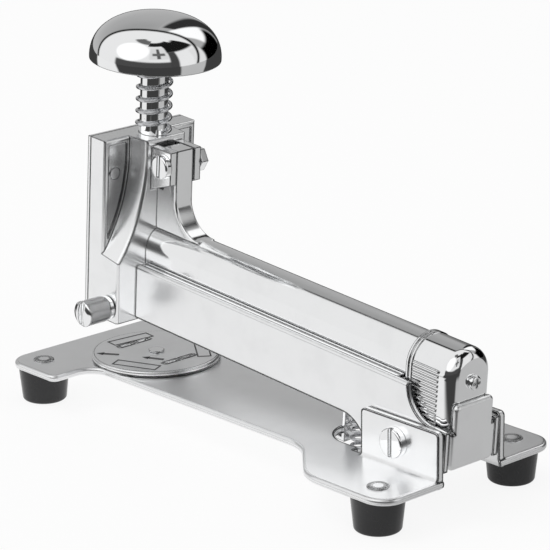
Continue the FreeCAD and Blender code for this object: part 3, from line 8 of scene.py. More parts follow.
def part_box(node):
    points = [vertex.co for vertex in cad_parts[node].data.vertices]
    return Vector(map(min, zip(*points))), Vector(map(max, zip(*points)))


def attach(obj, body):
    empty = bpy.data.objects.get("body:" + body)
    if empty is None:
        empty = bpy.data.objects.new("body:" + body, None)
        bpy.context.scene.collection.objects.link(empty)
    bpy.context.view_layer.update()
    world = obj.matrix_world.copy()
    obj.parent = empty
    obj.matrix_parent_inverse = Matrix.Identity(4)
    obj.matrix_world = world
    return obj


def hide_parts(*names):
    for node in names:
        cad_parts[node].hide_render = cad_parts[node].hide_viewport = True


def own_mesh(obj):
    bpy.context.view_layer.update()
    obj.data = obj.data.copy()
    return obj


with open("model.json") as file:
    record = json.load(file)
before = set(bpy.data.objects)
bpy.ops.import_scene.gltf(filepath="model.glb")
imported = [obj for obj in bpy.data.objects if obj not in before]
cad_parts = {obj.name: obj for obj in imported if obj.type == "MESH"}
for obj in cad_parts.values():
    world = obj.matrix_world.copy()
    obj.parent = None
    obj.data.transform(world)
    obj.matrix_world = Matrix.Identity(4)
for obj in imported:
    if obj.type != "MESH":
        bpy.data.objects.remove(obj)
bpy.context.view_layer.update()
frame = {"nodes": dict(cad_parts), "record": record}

nodes = frame["nodes"]
bodies = frame["record"]["behaviour"]["bodies"]
node_body = {node: body for body, members in bodies.items() for node in members}

# Camera, where the photograph was taken from, for a picture of 550 by 550
PICTURE_SIDE = 550
FOCAL_PIXELS = 2940.4
SENSOR_WIDTH = 36.0
CAMERA_AZIMUTH = math.radians(47.272)
CAMERA_ELEVATION = math.radians(17.578)
CAMERA_ROLL = math.radians(-0.401)
CAMERA_DISTANCE = 0.9691
CAMERA_TARGET = Vector((0.0027, 0.0, 0.0578))
CAMERA_CLIP_START = 0.05
CAMERA_CLIP_END = 60.0

# Arm, tilted about its pivot at rest, and what its springs give way to
ARM_TILT = math.radians(4.05)
ARM_PIVOT = Vector((0.074, 0.0, 0.02265))
ARM_FRAME = Matrix.Translation(ARM_PIVOT) @ Matrix.Rotation(ARM_TILT, 4, "Y")
TOWARDS_NEAR_SIDE = Matrix.Rotation(math.radians(90.0), 4, "X")

# CAD nodes by their finish
CHROME_NODES = [
    "base_plate", "foot_rivets", "pivot_screw", "pivot_nut", "spring_strap", "anvil_pivot_rivet",
    "anvil_washer", "anvil_disc", "arm_channel", "arm_cover", "head_casting", "front_plate", "head_rivets",
    "clamp_bolt", "clamp_nut", "stop_hook", "plunger_shaft", "knob_shell", "knob_hub", "thumb_screw",
    "end_cap", "cap_screw", "tail_plate",
]
SATIN_NODES = ["base_plate", "arm_channel", "anvil_disc", "tail_plate", "spring_strap"]
CAST_NODES = ["head_casting", "front_plate", "head_rivets"]
BUFFED_NODES = ["arm_cover"]
MODELLED_NODES = ["thumb_screw", "foot_rivets", "knob_shell"]
STEEL_NODES = [
    "lift_spring", "return_spring", "feed_spring", "guide_rod", "staple_rail", "staple_strip", "staple_pusher",
    "crosshead", "driver_blade",
]
RUBBER_NODES = ["foot_front_near", "foot_front_far", "foot_rear_near", "foot_rear_far"]


# Shader nodes
def add(tree, kind, inputs=None, **settings):
    node = tree.nodes.new(kind)
    for name, value in settings.items():
        setattr(node, name, value)
    for name, value in (inputs or {}).items():
        if hasattr(value, "is_output"):
            tree.links.new(value, node.inputs[name])
        else:
            node.inputs[name].default_value = value
    return node


def calculate(tree, operation, first, second=0.0, third=0.0):
    return add(tree, "ShaderNodeMath", {0: first, 1: second, 2: third}, operation=operation).outputs[0]


def mix(tree, share, first, second, data_type="FLOAT"):
    inputs = {"Factor": share, "A": first, "B": second}
    return add(tree, "ShaderNodeMix", inputs, data_type=data_type).outputs["Result"]


def ramp(tree, value, span, levels=(0.0, 1.0), interpolation="SMOOTHSTEP"):
    """Goes from the first level to the second as value crosses span."""
    inputs = {
        "Value": value, "From Min": span[0], "From Max": span[1], "To Min": levels[0], "To Max": levels[1]}
    return add(tree, "ShaderNodeMapRange", inputs, interpolation_type=interpolation).outputs["Result"]


def noise(tree, place, scale, detail, **more):
    inputs = {"Vector": place, "Scale": scale, "Detail": detail, **more}
    return add(tree, "ShaderNodeTexNoise", inputs).outputs["Fac"]


def dot_product(tree, first, second):
    return add(tree, "ShaderNodeVectorMath", {0: first, 1: second}, operation="DOT_PRODUCT").outputs["Value"]


def object_place(tree):
    return add(tree, "ShaderNodeTexCoord").outputs["Object"]


def new_material(name):
    material = bpy.data.materials.new(name)
    material.use_nodes = True
    return material, material.node_tree, material.node_tree.nodes["Principled BSDF"]


def new_group(name, inputs, outputs):
    group = bpy.data.node_groups.new(name, "ShaderNodeTree")
    for socket, kind, value in inputs:
        item = group.interface.new_socket(name=socket, in_out="INPUT", socket_type=kind)
        if value is not None:
            item.default_value = value
    for socket, kind in outputs:
        group.interface.new_socket(name=socket, in_out="OUTPUT", socket_type=kind)
    return group, group.nodes.new("NodeGroupInput"), group.nodes.new("NodeGroupOutput")


def use_group(tree, group, inputs):
    return add(tree, "ShaderNodeGroup", inputs, node_tree=group)


# Swells of the surface under its plating
FINE_PER_SWELL = 9.0


def make_swell_group():
    """Slow swells of a pressed or cast surface, with finer ones on them, as a height."""
    group, given, result = new_group(
        "pressing_swell",
        [("Vector", "NodeSocketVector", None), ("Swells per metre", "NodeSocketFloat", 55.0),
         ("Fine share", "NodeSocketFloat", 0.1)],
        [("Height", "NodeSocketFloat")])
    place, swells = given.outputs["Vector"], given.outputs["Swells per metre"]
    broad = noise(group, place, swells, 1.0)
    fine = noise(group, place, calculate(group, "MULTIPLY", swells, FINE_PER_SWELL), 2.0)
    height = calculate(group, "MULTIPLY_ADD", fine, given.outputs["Fine share"], broad)
    group.links.new(height, result.inputs["Height"])
    return group


# Haze of handling and polishing
HAZE_SPAN = (0.42, 0.72)
SCRATCH_SPAN = (0.63, 0.74)
SCRATCH_TURN = (0.3, 0.5, 0.6)
SCRATCH_STRETCH = (0.04, 1.0, 0.6)


def make_haze_group():
    """Faint patches, and fine scratches drawn out one way."""
    group, given, result = new_group(
        "handling_haze",
        [("Vector", "NodeSocketVector", None), ("Patches per metre", "NodeSocketFloat", 90.0),
         ("Scratches per metre", "NodeSocketFloat", 1400.0)],
        [("Haze", "NodeSocketFloat"), ("Scratch", "NodeSocketFloat")])
    place = given.outputs["Vector"]
    patches = noise(group, place, given.outputs["Patches per metre"], 4.0, Roughness=0.62)
    stretched = add(group, "ShaderNodeMapping", {
        "Vector": place, "Rotation": SCRATCH_TURN, "Scale": SCRATCH_STRETCH}).outputs["Vector"]
    lines = noise(group, stretched, given.outputs["Scratches per metre"], 1.0)
    group.links.new(ramp(group, patches, HAZE_SPAN), result.inputs["Haze"])
    group.links.new(ramp(group, lines, SCRATCH_SPAN, interpolation="LINEAR"), result.inputs["Scratch"])
    return group


# Painted dark reflection along eased edges, by one minus the cosine of the turn between the eased normal and
# the true one
EDGE_SPAN = (0.005, 0.022)
EDGE_CORE_SPAN = (0.19, 0.26)
EDGE_SAMPLES = 16


def make_painted_edge_reflection_group():
    """Painted dark reflection: two dark lines with a bright core, painted into the colour where plating turns
    through the dark of a room.
    """
    group, given, result = new_group(
        "painted_edge_reflection",
        [("Eased normal", "NodeSocketVector", None), ("True normal", "NodeSocketVector", None),
         ("Line", "NodeSocketFloat", 0.8)],
        [("Painted reflection mask", "NodeSocketFloat")])
    agreement = dot_product(group, given.outputs["Eased normal"], given.outputs["True normal"])
    turn = calculate(group, "SUBTRACT", 1.0, agreement)
    core = ramp(group, turn, EDGE_CORE_SPAN, (1.0, 0.0))
    both = calculate(group, "MULTIPLY", ramp(group, turn, EDGE_SPAN), core)
    group.links.new(calculate(group, "MULTIPLY", both, given.outputs["Line"]), result.inputs["Painted reflection mask"])
    return group


swell_group = make_swell_group()
haze_group = make_haze_group()
painted_edge_reflection_group = make_painted_edge_reflection_group()

# Metals, clean and stained, with painted dark reflection along edges and painted shade in stamped grooves
CHROME_COLOURS = ((0.90, 0.905, 0.91, 1.0), (0.84, 0.845, 0.85, 1.0))
STEEL_COLOURS = ((0.62, 0.625, 0.64, 1.0), (0.5, 0.5, 0.51, 1.0))
# Painted shade: the dark colour of the stamped marks stands in for the shade in their grooves
PAINTED_GROOVE_SHADE_COLOURS = ((0.05, 0.05, 0.052, 1.0), (0.12, 0.12, 0.125, 1.0))
PAINTED_EDGE_REFLECTION_COLOUR = (0.02, 0.02, 0.022, 1.0)
STAIN_SHARE = 0.5
SCRATCH_PER_HAZE = 1.4


def make_metal(name, roughness, haze, swell, depth, edge=0.0, line=0.0, colours=CHROME_COLOURS):
    """haze is added to roughness, swell is per metre and depth its height, edge a radius and line the share of
    painted dark reflection along edges.
    """
    material, tree, shader = new_material(name)
    place = object_place(tree)
    shader.inputs["Metallic"].default_value = 1.0
    marks = use_group(tree, haze_group, {"Vector": place})
    stained = calculate(tree, "MULTIPLY", marks.outputs["Haze"], STAIN_SHARE)
    shown = mix(tree, stained, *colours, "RGBA")
    dull = calculate(tree, "MULTIPLY_ADD", marks.outputs["Haze"], haze, roughness)
    dull = calculate(tree, "MULTIPLY_ADD", marks.outputs["Scratch"], haze * SCRATCH_PER_HAZE, dull)
    tree.links.new(dull, shader.inputs["Roughness"])
    wave = use_group(tree, swell_group, {"Vector": place, "Swells per metre": swell})
    bump = add(tree, "ShaderNodeBump", {"Height": wave.outputs["Height"], "Strength": 1.0, "Distance": depth})
    if edge:
        eased = add(tree, "ShaderNodeBevel", {"Radius": edge}, samples=EDGE_SAMPLES).outputs["Normal"]
        tree.links.new(eased, bump.inputs["Normal"])
        true = add(tree, "ShaderNodeNewGeometry").outputs["Normal"]
        mask = use_group(tree, painted_edge_reflection_group, {"Eased normal": eased, "True normal": true, "Line": line})
        # Painted dark reflection: the colour is darkened in lines along the edges
        shown = mix(tree, mask.outputs["Painted reflection mask"], shown, PAINTED_EDGE_REFLECTION_COLOUR, "RGBA")
    tree.links.new(shown, shader.inputs["Base Color"])
    tree.links.new(bump.outputs["Normal"], shader.inputs["Normal"])
    return material


# Rubber of the feet, clean and bloomed
RUBBER_COLOURS = ((0.010, 0.010, 0.011, 1.0), (0.020, 0.020, 0.021, 1.0))
RUBBER_ROUGHNESS = (0.12, 0.2)
CLOUDS_PER_METRE = 140.0
GRAINS_PER_METRE = 2600.0
GRAIN_HEIGHT = 0.00006
GRAIN_STRENGTH = 0.25


def make_rubber():
    material, tree, shader = new_material("foot_rubber")
    place = object_place(tree)
    cloud = noise(tree, place, CLOUDS_PER_METRE, 4.0)
    tree.links.new(mix(tree, cloud, *RUBBER_COLOURS, "RGBA"), shader.inputs["Base Color"])
    tree.links.new(ramp(tree, cloud, (0.0, 1.0), RUBBER_ROUGHNESS, "LINEAR"), shader.inputs["Roughness"])
    grain = noise(tree, place, GRAINS_PER_METRE, 2.0)
    bump = add(tree, "ShaderNodeBump", {"Height": grain, "Strength": GRAIN_STRENGTH, "Distance": GRAIN_HEIGHT})
    tree.links.new(bump.outputs["Normal"], shader.inputs["Normal"])
    return material


# line is the share of painted dark reflection along the edges
chrome = make_metal("polished_chrome", 0.03, haze=0.02, swell=55.0, depth=6e-6, edge=0.0005, line=0.75)
satin = make_metal("satin_chrome", 0.28, haze=0.015, swell=30.0, depth=1e-6, edge=0.0013, line=1.0)
buffed = make_metal("buffed_chrome", 0.10, haze=0.02, swell=40.0, depth=4e-6, edge=0.0008, line=0.9)
cast = make_metal("cast_chrome", 0.22, haze=0.015, swell=40.0, depth=2e-6, edge=0.0007, line=0.95)
knurled = make_metal("knurled_chrome", 0.06, haze=0.02, swell=55.0, depth=6e-6, edge=0.00013, line=1.0)
groove_shade_paint = make_metal("painted_groove_shade", 0.3, haze=0.2, swell=300.0, depth=1e-5, colours=PAINTED_GROOVE_SHADE_COLOURS)
steel = make_metal("spring_steel", 0.14, haze=0.12, swell=160.0, depth=2e-5, colours=STEEL_COLOURS)
rubber = make_rubber()


def finish_with(piece, material):
    piece.data.materials.clear()
    piece.data.materials.append(material)


def plating_of(name):
    for names, material in ((SATIN_NODES, satin), (CAST_NODES, cast), (BUFFED_NODES, buffed)):
        if name in names:
            return material
    return chrome


# Copies of CAD nodes with their seams closed, in metres and degrees
SEAM_WIDTH = 0.000002
LEVEL_COSINE = 0.99999
PLATED_ANGLE = 35.0
COIL_ANGLE = 60.0


def start_alone():
    if bpy.context.object and bpy.context.object.mode == "EDIT":
        bpy.ops.object.mode_set(mode="OBJECT")
    bpy.ops.object.select_all(action="DESELECT")


def select_alone(piece):
    start_alone()
    piece.select_set(True)
    bpy.context.view_layer.objects.active = piece


def shade_by_breadth(mesh, angle):
    """Each corner's shading normal follows the broadest of the faces around it that turn little from its own.
    So flats stay flat, and roundings start out level with them."""
    turns = [Vector(face.normal) for face in mesh.polygons]
    sides = {}
    around = [[] for point in mesh.vertices]
    for face in mesh.polygons:
        for key in face.edge_keys:
            sides.setdefault(key, []).append(face.index)
        for point in face.vertices:
            around[point].append(face.index)
    patch = list(range(len(turns)))

    def root(index):
        while patch[index] != index:
            patch[index] = patch[patch[index]]
            index = patch[index]
        return index

    for pair in sides.values():
        if len(pair) == 2 and turns[pair[0]].dot(turns[pair[1]]) > LEVEL_COSINE:
            patch[root(pair[0])] = root(pair[1])
    breadth = {}
    for face in mesh.polygons:
        home = root(face.index)
        breadth[home] = breadth.get(home, 0.0) + face.area
    limit = math.cos(math.radians(angle))
    corners = []
    for face in mesh.polygons:
        own = turns[face.index]
        for point in face.vertices:
            total = Vector((0.0, 0.0, 0.0))
            for home in {root(other) for other in around[point] if turns[other].dot(own) > limit}:
                total += turns[home] * breadth[home]
            corners.append(total.normalized() if total.length > 0.0 else own)
    mesh.normals_split_custom_set(corners)


def plated_copy(name, body, material, angle=PLATED_ANGLE):
    copy = nodes[name].copy()
    copy.data = nodes[name].data.copy()
    copy.name = name + "_plated"
    bpy.context.collection.objects.link(copy)
    select_alone(copy)
    bpy.ops.object.mode_set(mode="EDIT")
    bpy.ops.mesh.select_all(action="SELECT")
    bpy.ops.mesh.remove_doubles(threshold=SEAM_WIDTH)
    bpy.ops.object.mode_set(mode="OBJECT")
    bpy.ops.object.shade_smooth()
    shade_by_breadth(copy.data, angle)
    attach(copy, body)
    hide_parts(name)
    finish_with(copy, material)
    return copy


def sprung_copy(name, body):
    """A spring, copied with its seams closed and shaded smooth, in spring steel and with a mesh of its own."""
    spring = plated_copy(name, body, steel, COIL_ANGLE)
    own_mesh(spring)


def make_springs():
    sprung_copy("lift_spring", "base")
    sprung_copy("return_spring", "arm")
    sprung_copy("feed_spring", "drawer")


# Pieces modelled here, in millimetres about their own axis until they are settled
MM = 0.001


def settle(piece, matrix):
    """Puts a piece made about the origin in its place, and keeps the place in its mesh."""
    select_alone(piece)
    piece.matrix_world = matrix @ Matrix.Translation(piece.location)
    bpy.ops.object.transform_apply(location=True, rotation=True, scale=True)


def dress(piece, body, node, material, angle=30.0):
    select_alone(piece)
    bpy.ops.object.mode_set(mode="EDIT")
    bpy.ops.mesh.select_all(action="SELECT")
    bpy.ops.mesh.remove_doubles(threshold=SEAM_WIDTH)
    bpy.ops.mesh.normals_make_consistent(inside=False)
    bpy.ops.object.mode_set(mode="OBJECT")
    bpy.ops.object.shade_smooth_by_angle(angle=math.radians(angle))
    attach(piece, body)
    if node:
        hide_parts(node)
    finish_with(piece, material)


def turned(name, profile, segments=48):
    """A turned piece about +Z, drawn up ring by ring from (height, radius)."""
    start_alone()
    height, radius = profile[0]
    bpy.ops.mesh.primitive_circle_add(
        vertices=segments, radius=radius * MM, fill_type="NGON", location=(0, 0, height * MM))
    piece = bpy.context.object
    piece.name = name
    bpy.ops.object.mode_set(mode="EDIT")
    for next_height, next_radius in profile[1:]:
        bpy.ops.mesh.extrude_region_move(
            TRANSFORM_OT_translate={"value": (0, 0, (next_height - height) * MM)})
        share = next_radius / radius
        bpy.ops.transform.resize(value=(share, share, 1), center_override=(0, 0, next_height * MM))
        height, radius = next_height, next_radius
    bpy.ops.object.mode_set(mode="OBJECT")
    return piece


# A turned piece ends in a ring this small, because a ring can't have no radius
TIP_RADIUS = 0.02


def dome(height, radius, rise, steps):
    """Rings of a domed end, from its rim inwards."""
    ball = (radius * radius + rise * rise) / (2 * rise)
    rings = []
    for step in range(1, steps + 1):
        inner = radius * (1 - step / steps) if step < steps else TIP_RADIUS
        rings.append((height + rise - ball + math.sqrt(ball * ball - inner * inner), inner))
    return rings


def cut_box(piece, low, high):
    """Cuts a box, given by two corners, out of a piece."""
    start_alone()
    middle = [(a + b) / 2 * MM for a, b in zip(low, high)]
    bpy.ops.mesh.primitive_cube_add(size=1.0, location=middle)
    cutter = bpy.context.object
    cutter.scale = [(b - a) * MM for a, b in zip(low, high)]
    bpy.ops.object.transform_apply(location=True, rotation=True, scale=True)
    select_alone(piece)
    cut = piece.modifiers.new("slot", "BOOLEAN")
    cut.object = cutter
    cut.operation = "DIFFERENCE"
    cut.solver = "EXACT"
    bpy.ops.object.modifier_apply(modifier=cut.name)
    bpy.data.objects.remove(cutter)


def diamond_sleeve(name, start, end, radius, depth, columns, rows):
    """A sleeve whose faces are first split into diamonds and then drawn up to points, with closed ends."""
    start_alone()
    bpy.ops.mesh.primitive_cylinder_add(
        vertices=columns, radius=(radius - depth) * MM, depth=(end - start) * MM, end_fill_type="NOTHING",
        location=(0, 0, (start + end) / 2 * MM))
    sleeve = bpy.context.object
    sleeve.name = name
    points, edges = sleeve.data.vertices, sleeve.data.edges
    bpy.context.tool_settings.mesh_select_mode = (False, True, False)
    bpy.ops.object.mode_set(mode="EDIT")
    bpy.ops.mesh.select_all(action="DESELECT")
    bpy.ops.object.mode_set(mode="OBJECT")
    for edge in edges:
        edge.select = abs(points[edge.vertices[0]].co.z - points[edge.vertices[1]].co.z) > SEAM_WIDTH
    bpy.ops.object.mode_set(mode="EDIT")
    bpy.ops.mesh.subdivide(number_cuts=rows - 1)
    bpy.ops.mesh.select_all(action="SELECT")
    bpy.ops.mesh.poke(offset=0.0)
    bpy.ops.mesh.select_all(action="DESELECT")
    bpy.ops.object.mode_set(mode="OBJECT")
    select_square_edges(sleeve.data, (end - start) * MM, rows, columns)
    bpy.ops.object.mode_set(mode="EDIT")
    bpy.ops.mesh.dissolve_edges(use_verts=False)
    bpy.ops.mesh.select_all(action="SELECT")
    bpy.ops.mesh.poke(offset=depth * MM)
    bpy.ops.mesh.select_all(action="SELECT")
    bpy.ops.mesh.fill_holes(sides=0)
    bpy.ops.object.mode_set(mode="OBJECT")
    bpy.context.tool_settings.mesh_select_mode = (True, False, False)
    return sleeve


def select_square_edges(mesh, length, rows, columns, slack=0.05):
    """Selects the sides of the sleeve's squares, apart from its ends, and leaves their diagonals."""
    step, turn = length / rows, 2 * math.pi / columns
    for edge in mesh.edges:
        a, b = [mesh.vertices[index].co for index in edge.vertices]
        along = abs(a.z - b.z)
        apart = abs(math.remainder(math.atan2(a.y, a.x) - math.atan2(b.y, b.x), 2 * math.pi))
        straight = abs(along - step) < step * slack and apart < turn * slack
        level = along < step * slack and abs(apart - turn) < turn * slack
        at_end = length / 2 - abs(a.z) < step * slack
        edge.select = straight or (level and not at_end)


def make_thumb_screw():
    """Shank, collar, knurled barrel and a domed end with a broad slot."""
    axis_place = Vector((-0.134, 0.0, 0.0046))
    shank, collar, barrel, knurl, dome_foot, dome_rise = 2.4, 4.1, 3.95, 4.53, 4.25, 1.0
    shank_start, collar_start, collar_end = 11.6, 20.6, 22.7
    knurl_start, knurl_end, dome_start = 22.9, 31.1, 31.85
    knurl_depth, knurl_columns, knurl_rows = 0.42, 34, 10
    slot_half, slot_floor, slot_reach, slot_top = 1.1, 31.4, 6.0, 34.0
    stem = [(shank_start, shank - 0.1), (shank_start + 0.2, shank), (collar_start, shank),
            (collar_start, collar - 0.3), (collar_start + 0.3, collar), (collar_end - 0.3, collar),
            (collar_end, barrel - 0.1), (collar_end, barrel)]
    rim = [(knurl_end, barrel), (knurl_end, 4.4), (knurl_end + 0.25, knurl), (knurl_end + 0.5, 4.5),
           (dome_start, dome_foot)]
    screw = turned("thumb_screw_body", stem + rim + dome(dome_start, dome_foot, dome_rise, 9), 64)
    cut_box(screw, (-slot_half, -slot_reach, slot_floor), (slot_half, slot_reach, slot_top))
    grip = diamond_sleeve(
        "thumb_screw_knurl", knurl_start, knurl_end, knurl, knurl_depth, knurl_columns, knurl_rows)
    place = ARM_FRAME @ Matrix.Translation(axis_place) @ TOWARDS_NEAR_SIDE
    for piece, angle, finish in ((screw, 30.0, chrome), (grip, 12.0, knurled)):
        settle(piece, place)
        dress(piece, "thumb_screw", "thumb_screw", finish, angle)


def make_knob():
    """A spun shell whose side runs into its crown without a corner."""
    axis_place = Vector((-0.1366, 0.0, 0.0))
    rim, radius, height, wall = 89.05, 22.4, 15.45, 1.3
    steps, fullness = 30, 2.35
    lip_rise, lip_round, lip_ease = 0.12, 0.25, 0.05

    def outline(high, wide):
        rings = []
        for step in range(steps):
            turn = math.pi / 2 * step / steps
            rise, reach = math.sin(turn) ** (2 / fullness), math.cos(turn) ** (2 / fullness)
            rings.append((rim + high * rise, wide * reach))
        return rings + [(rim + high, TIP_RADIUS)]

    outside = outline(height, radius)
    inside = outline(height - wall, radius - wall)[::-1]
    lip = [(rim + lip_rise, radius - wall + lip_ease), (rim, radius - wall + lip_round),
           (rim, radius - lip_round), (rim + lip_rise, radius - lip_ease)]
    knob = turned("striking_knob", inside[:-1] + lip + outside[1:], 128)
    settle(knob, ARM_FRAME @ Matrix.Translation(axis_place))
    dress(knob, "plunger", "knob_shell", chrome)


def make_foot_rivets():
    """Peened heads with a ring pressed into them."""
    low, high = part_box("foot_rivets")
    bottom, top = low.z / MM, high.z / MM
    head, shank, flat = 3.6, 2.0, 1.6
    edge, shoulder, groove_width, groove_depth = 0.5, 0.12, 0.5, 0.2
    for name, x, ring in (("front", -0.0833, 3.1), ("rear", 0.0817, 3.45)):
        foot = [(bottom, 2.6), (bottom + 0.2, head), (bottom + edge, head), (bottom + edge, shank)]
        rise = [(top - edge, shank), (top - edge, head), (top - edge / 2, head), (top - shoulder, head - 0.1)]
        groove_floor = top - shoulder - groove_depth
        groove = [(top - shoulder, ring), (groove_floor, ring - 0.15), (groove_floor, ring - 0.35),
                  (top - shoulder, ring - groove_width)]
        crown = [(top - 0.05, flat), (top, TIP_RADIUS)]
        for side, y in (("near", -0.0303), ("far", 0.0303)):
            rivet = turned("foot_rivet_%s_%s" % (name, side), foot + rise + groove + crown)
            settle(rivet, Matrix.Translation(Vector((x, y, 0.0))))
            dress(rivet, "base", "foot_rivets", satin)


# Stamped lines on the crimp disc, raised and painted dark as the shade of their grooves, in millimetres:
# lengths, widths and line widths, and places from its middle
MARK_RISE = 0.08
LABEL_SIZE = (16.6, 5.0, 0.5)
LABEL_REACH = 16.0
LABEL_FRAMES = (("near", -66.0), ("right", 54.0), ("far", 174.0))
ARROW_SIZE = (8.4, 2.6, 0.4)
SETTING_ARROWS = (("outer", -8.3, -13.8, 35.5), ("inner", 6.15, -5.6, 27.5))
GROOVE_RIM_SIZE = (6.2, 2.9, 0.4)
GROOVE_ROWS = (("front", -12.0), ("rear", 12.0))
GROOVE_SIDES = (("near", -3.4), ("far", 3.4))
SHAFT_SHARE = 0.7
SHAFT_WIDTH_SHARE = 0.5
HEAD_OFFSET_SHARE = 0.4
TRIANGLE_LENGTH = 0.75
TRIANGLE_WIDENING = 1.15


def flat_frame(name, length, width, line):
    start_alone()
    bpy.ops.mesh.primitive_plane_add(size=1.0)
    piece = bpy.context.object
    piece.name = name
    piece.scale = (length * MM, width * MM, 1.0)
    bpy.ops.object.transform_apply(location=True, rotation=True, scale=True)
    bpy.ops.object.mode_set(mode="EDIT")
    bpy.ops.mesh.select_all(action="SELECT")
    bpy.ops.mesh.inset(thickness=line * MM)
    bpy.ops.mesh.delete(type="FACE")
    bpy.ops.object.mode_set(mode="OBJECT")
    return piece


def flat_arrow(name, length, width, line):
    shaft = flat_frame(name, length * SHAFT_SHARE, width * SHAFT_WIDTH_SHARE, line)
    bpy.ops.mesh.primitive_circle_add(vertices=3, radius=0.5, fill_type="NGON", location=(0, 0, 0))
    head = bpy.context.object
    head_length = length * (1.0 - SHAFT_SHARE)
    head.rotation_euler = (0, 0, math.radians(90.0))
    head.scale = (width * TRIANGLE_WIDENING * MM, head_length / TRIANGLE_LENGTH * MM, 1.0)
    head.location = (-length * HEAD_OFFSET_SHARE * MM, 0.0, 0.0)
    bpy.ops.object.transform_apply(location=True, rotation=True, scale=True)
    shaft.select_set(True)
    bpy.context.view_layer.objects.active = shaft
    bpy.ops.object.join()
    return shaft


def raise_mark(piece, middle, offset_x, offset_y, angle):
    """Gives a flat mark its thickness and sets it on the disc, at an offset from its middle."""
    select_alone(piece)
    bpy.ops.object.mode_set(mode="EDIT")
    bpy.ops.mesh.select_all(action="SELECT")
    bpy.ops.mesh.extrude_region_move(TRANSFORM_OT_translate={"value": (0, 0, MARK_RISE * MM)})
    bpy.ops.object.mode_set(mode="OBJECT")
    place = middle + Vector((offset_x, offset_y, 0.0)) * MM
    settle(piece, Matrix.Translation(place) @ Matrix.Rotation(math.radians(angle), 4, "Z"))
    # Painted shade: the raised mark is dark as the shade of a stamped groove
    dress(piece, "anvil", None, groove_shade_paint)


def make_disc_marks():
    """Bare label frames, arrows to the two crimp settings, and rims of the grooves."""
    low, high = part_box("anvil_disc")
    middle = Vector(((low.x + high.x) / 2, 0.0, high.z))
    for name, angle in LABEL_FRAMES:
        turn = math.radians(angle)
        piece = flat_frame("label_frame_" + name, *LABEL_SIZE)
        raise_mark(piece, middle, LABEL_REACH * math.cos(turn), LABEL_REACH * math.sin(turn), angle + 90.0)
    for name, offset_x, offset_y, angle in SETTING_ARROWS:
        raise_mark(flat_arrow("setting_arrow_" + name, *ARROW_SIZE), middle, offset_x, offset_y, angle)
    for row, offset_x in GROOVE_ROWS:
        for side, offset_y in GROOVE_SIDES:
            piece = flat_frame("groove_rim_%s_%s" % (row, side), *GROOVE_RIM_SIZE)
            raise_mark(piece, middle, offset_x, offset_y, 90.0)


# Floor: nearly plain white to the lens, and to the plating a painted light, a glowing sheet with the room's
# floor beyond it
FLOOR_RADIUS = 12.0
FLOOR_COLOUR = (0.88, 0.88, 0.88, 1.0)
FLOOR_ROUGHNESS = 0.95
FLOOR_GLOW = 0.88
WHITE = (1.0, 1.0, 1.0, 1.0)
SHEET_LEVELS = (0.9, 0.52)
FAR_SIDE_WAY = (0.73, 0.68, 0.0)
FAR_SIDE_SPAN = (0.0, 0.07)
SHEET_FADE_SPAN = (0.16, 0.3)
ROOM_FLOOR_LEVEL = 0.05
LIT_WAYS = ((200.0, 247.0, 3.0), (364.0, 418.0, 3.0))
CUT_WAYS = ((284.0, 352.0, 4.0), (146.0, 192.0, 3.0))
CUT_SPAN = (0.115, 0.15)
AZIMUTH_SEAM = 132.0
SECOND_MIRROR_SHARE = 1.4


def azimuth_of(tree, x, y):
    """Azimuth in degrees, counted up from the seam, so that nothing lies across it."""
    turn = calculate(tree, "DEGREES", calculate(tree, "ARCTAN2", y, x))
    behind = calculate(tree, "LESS_THAN", turn, AZIMUTH_SEAM)
    return calculate(tree, "MULTIPLY_ADD", behind, 360.0, turn)


def soft_band(tree, value, low, high, edge):
    rise = ramp(tree, value, (low - edge, low + edge))
    fall = ramp(tree, value, (high - edge, high + edge), (1.0, 0.0))
    return calculate(tree, "MULTIPLY", rise, fall)


def either_band(tree, value, bands):
    first, second = [soft_band(tree, value, *band) for band in bands]
    return calculate(tree, "MAXIMUM", first, second)


def mirror_share(tree, level, first_depth):
    """Brightens what is seen by way of two mirrors or more. first_depth is the ray depth after one mirror."""
    depth = add(tree, "ShaderNodeLightPath").outputs["Ray Depth"]
    again = calculate(tree, "GREATER_THAN", depth, first_depth + 0.5)
    return calculate(
        tree, "MULTIPLY", level, calculate(tree, "MULTIPLY_ADD", again, SECOND_MIRROR_SHARE - 1.0, 1.0))


def painted_floor_light_level(tree):
    """Painted light as the plating sees the floor: the glowing sheet is darker on its far side, ends towards
    the camera and the left, and fades out elsewhere. Beyond it, two ways are lit.
    """
    place = object_place(tree)
    spot = add(tree, "ShaderNodeSeparateXYZ", {0: place})
    azimuth = azimuth_of(tree, spot.outputs["X"], spot.outputs["Y"])
    reach = add(tree, "ShaderNodeVectorMath", {0: place}, operation="LENGTH").outputs["Value"]
    sheet = ramp(tree, dot_product(tree, place, FAR_SIDE_WAY), FAR_SIDE_SPAN, SHEET_LEVELS)
    lit = calculate(tree, "MULTIPLY", either_band(tree, azimuth, LIT_WAYS), sheet)
    far = calculate(tree, "MAXIMUM", lit, ROOM_FLOOR_LEVEL)
    cut = calculate(tree, "MULTIPLY", either_band(tree, azimuth, CUT_WAYS), ramp(tree, reach, CUT_SPAN))
    gone = calculate(tree, "MAXIMUM", ramp(tree, reach, SHEET_FADE_SPAN), cut)
    return mix(tree, gone, sheet, far)


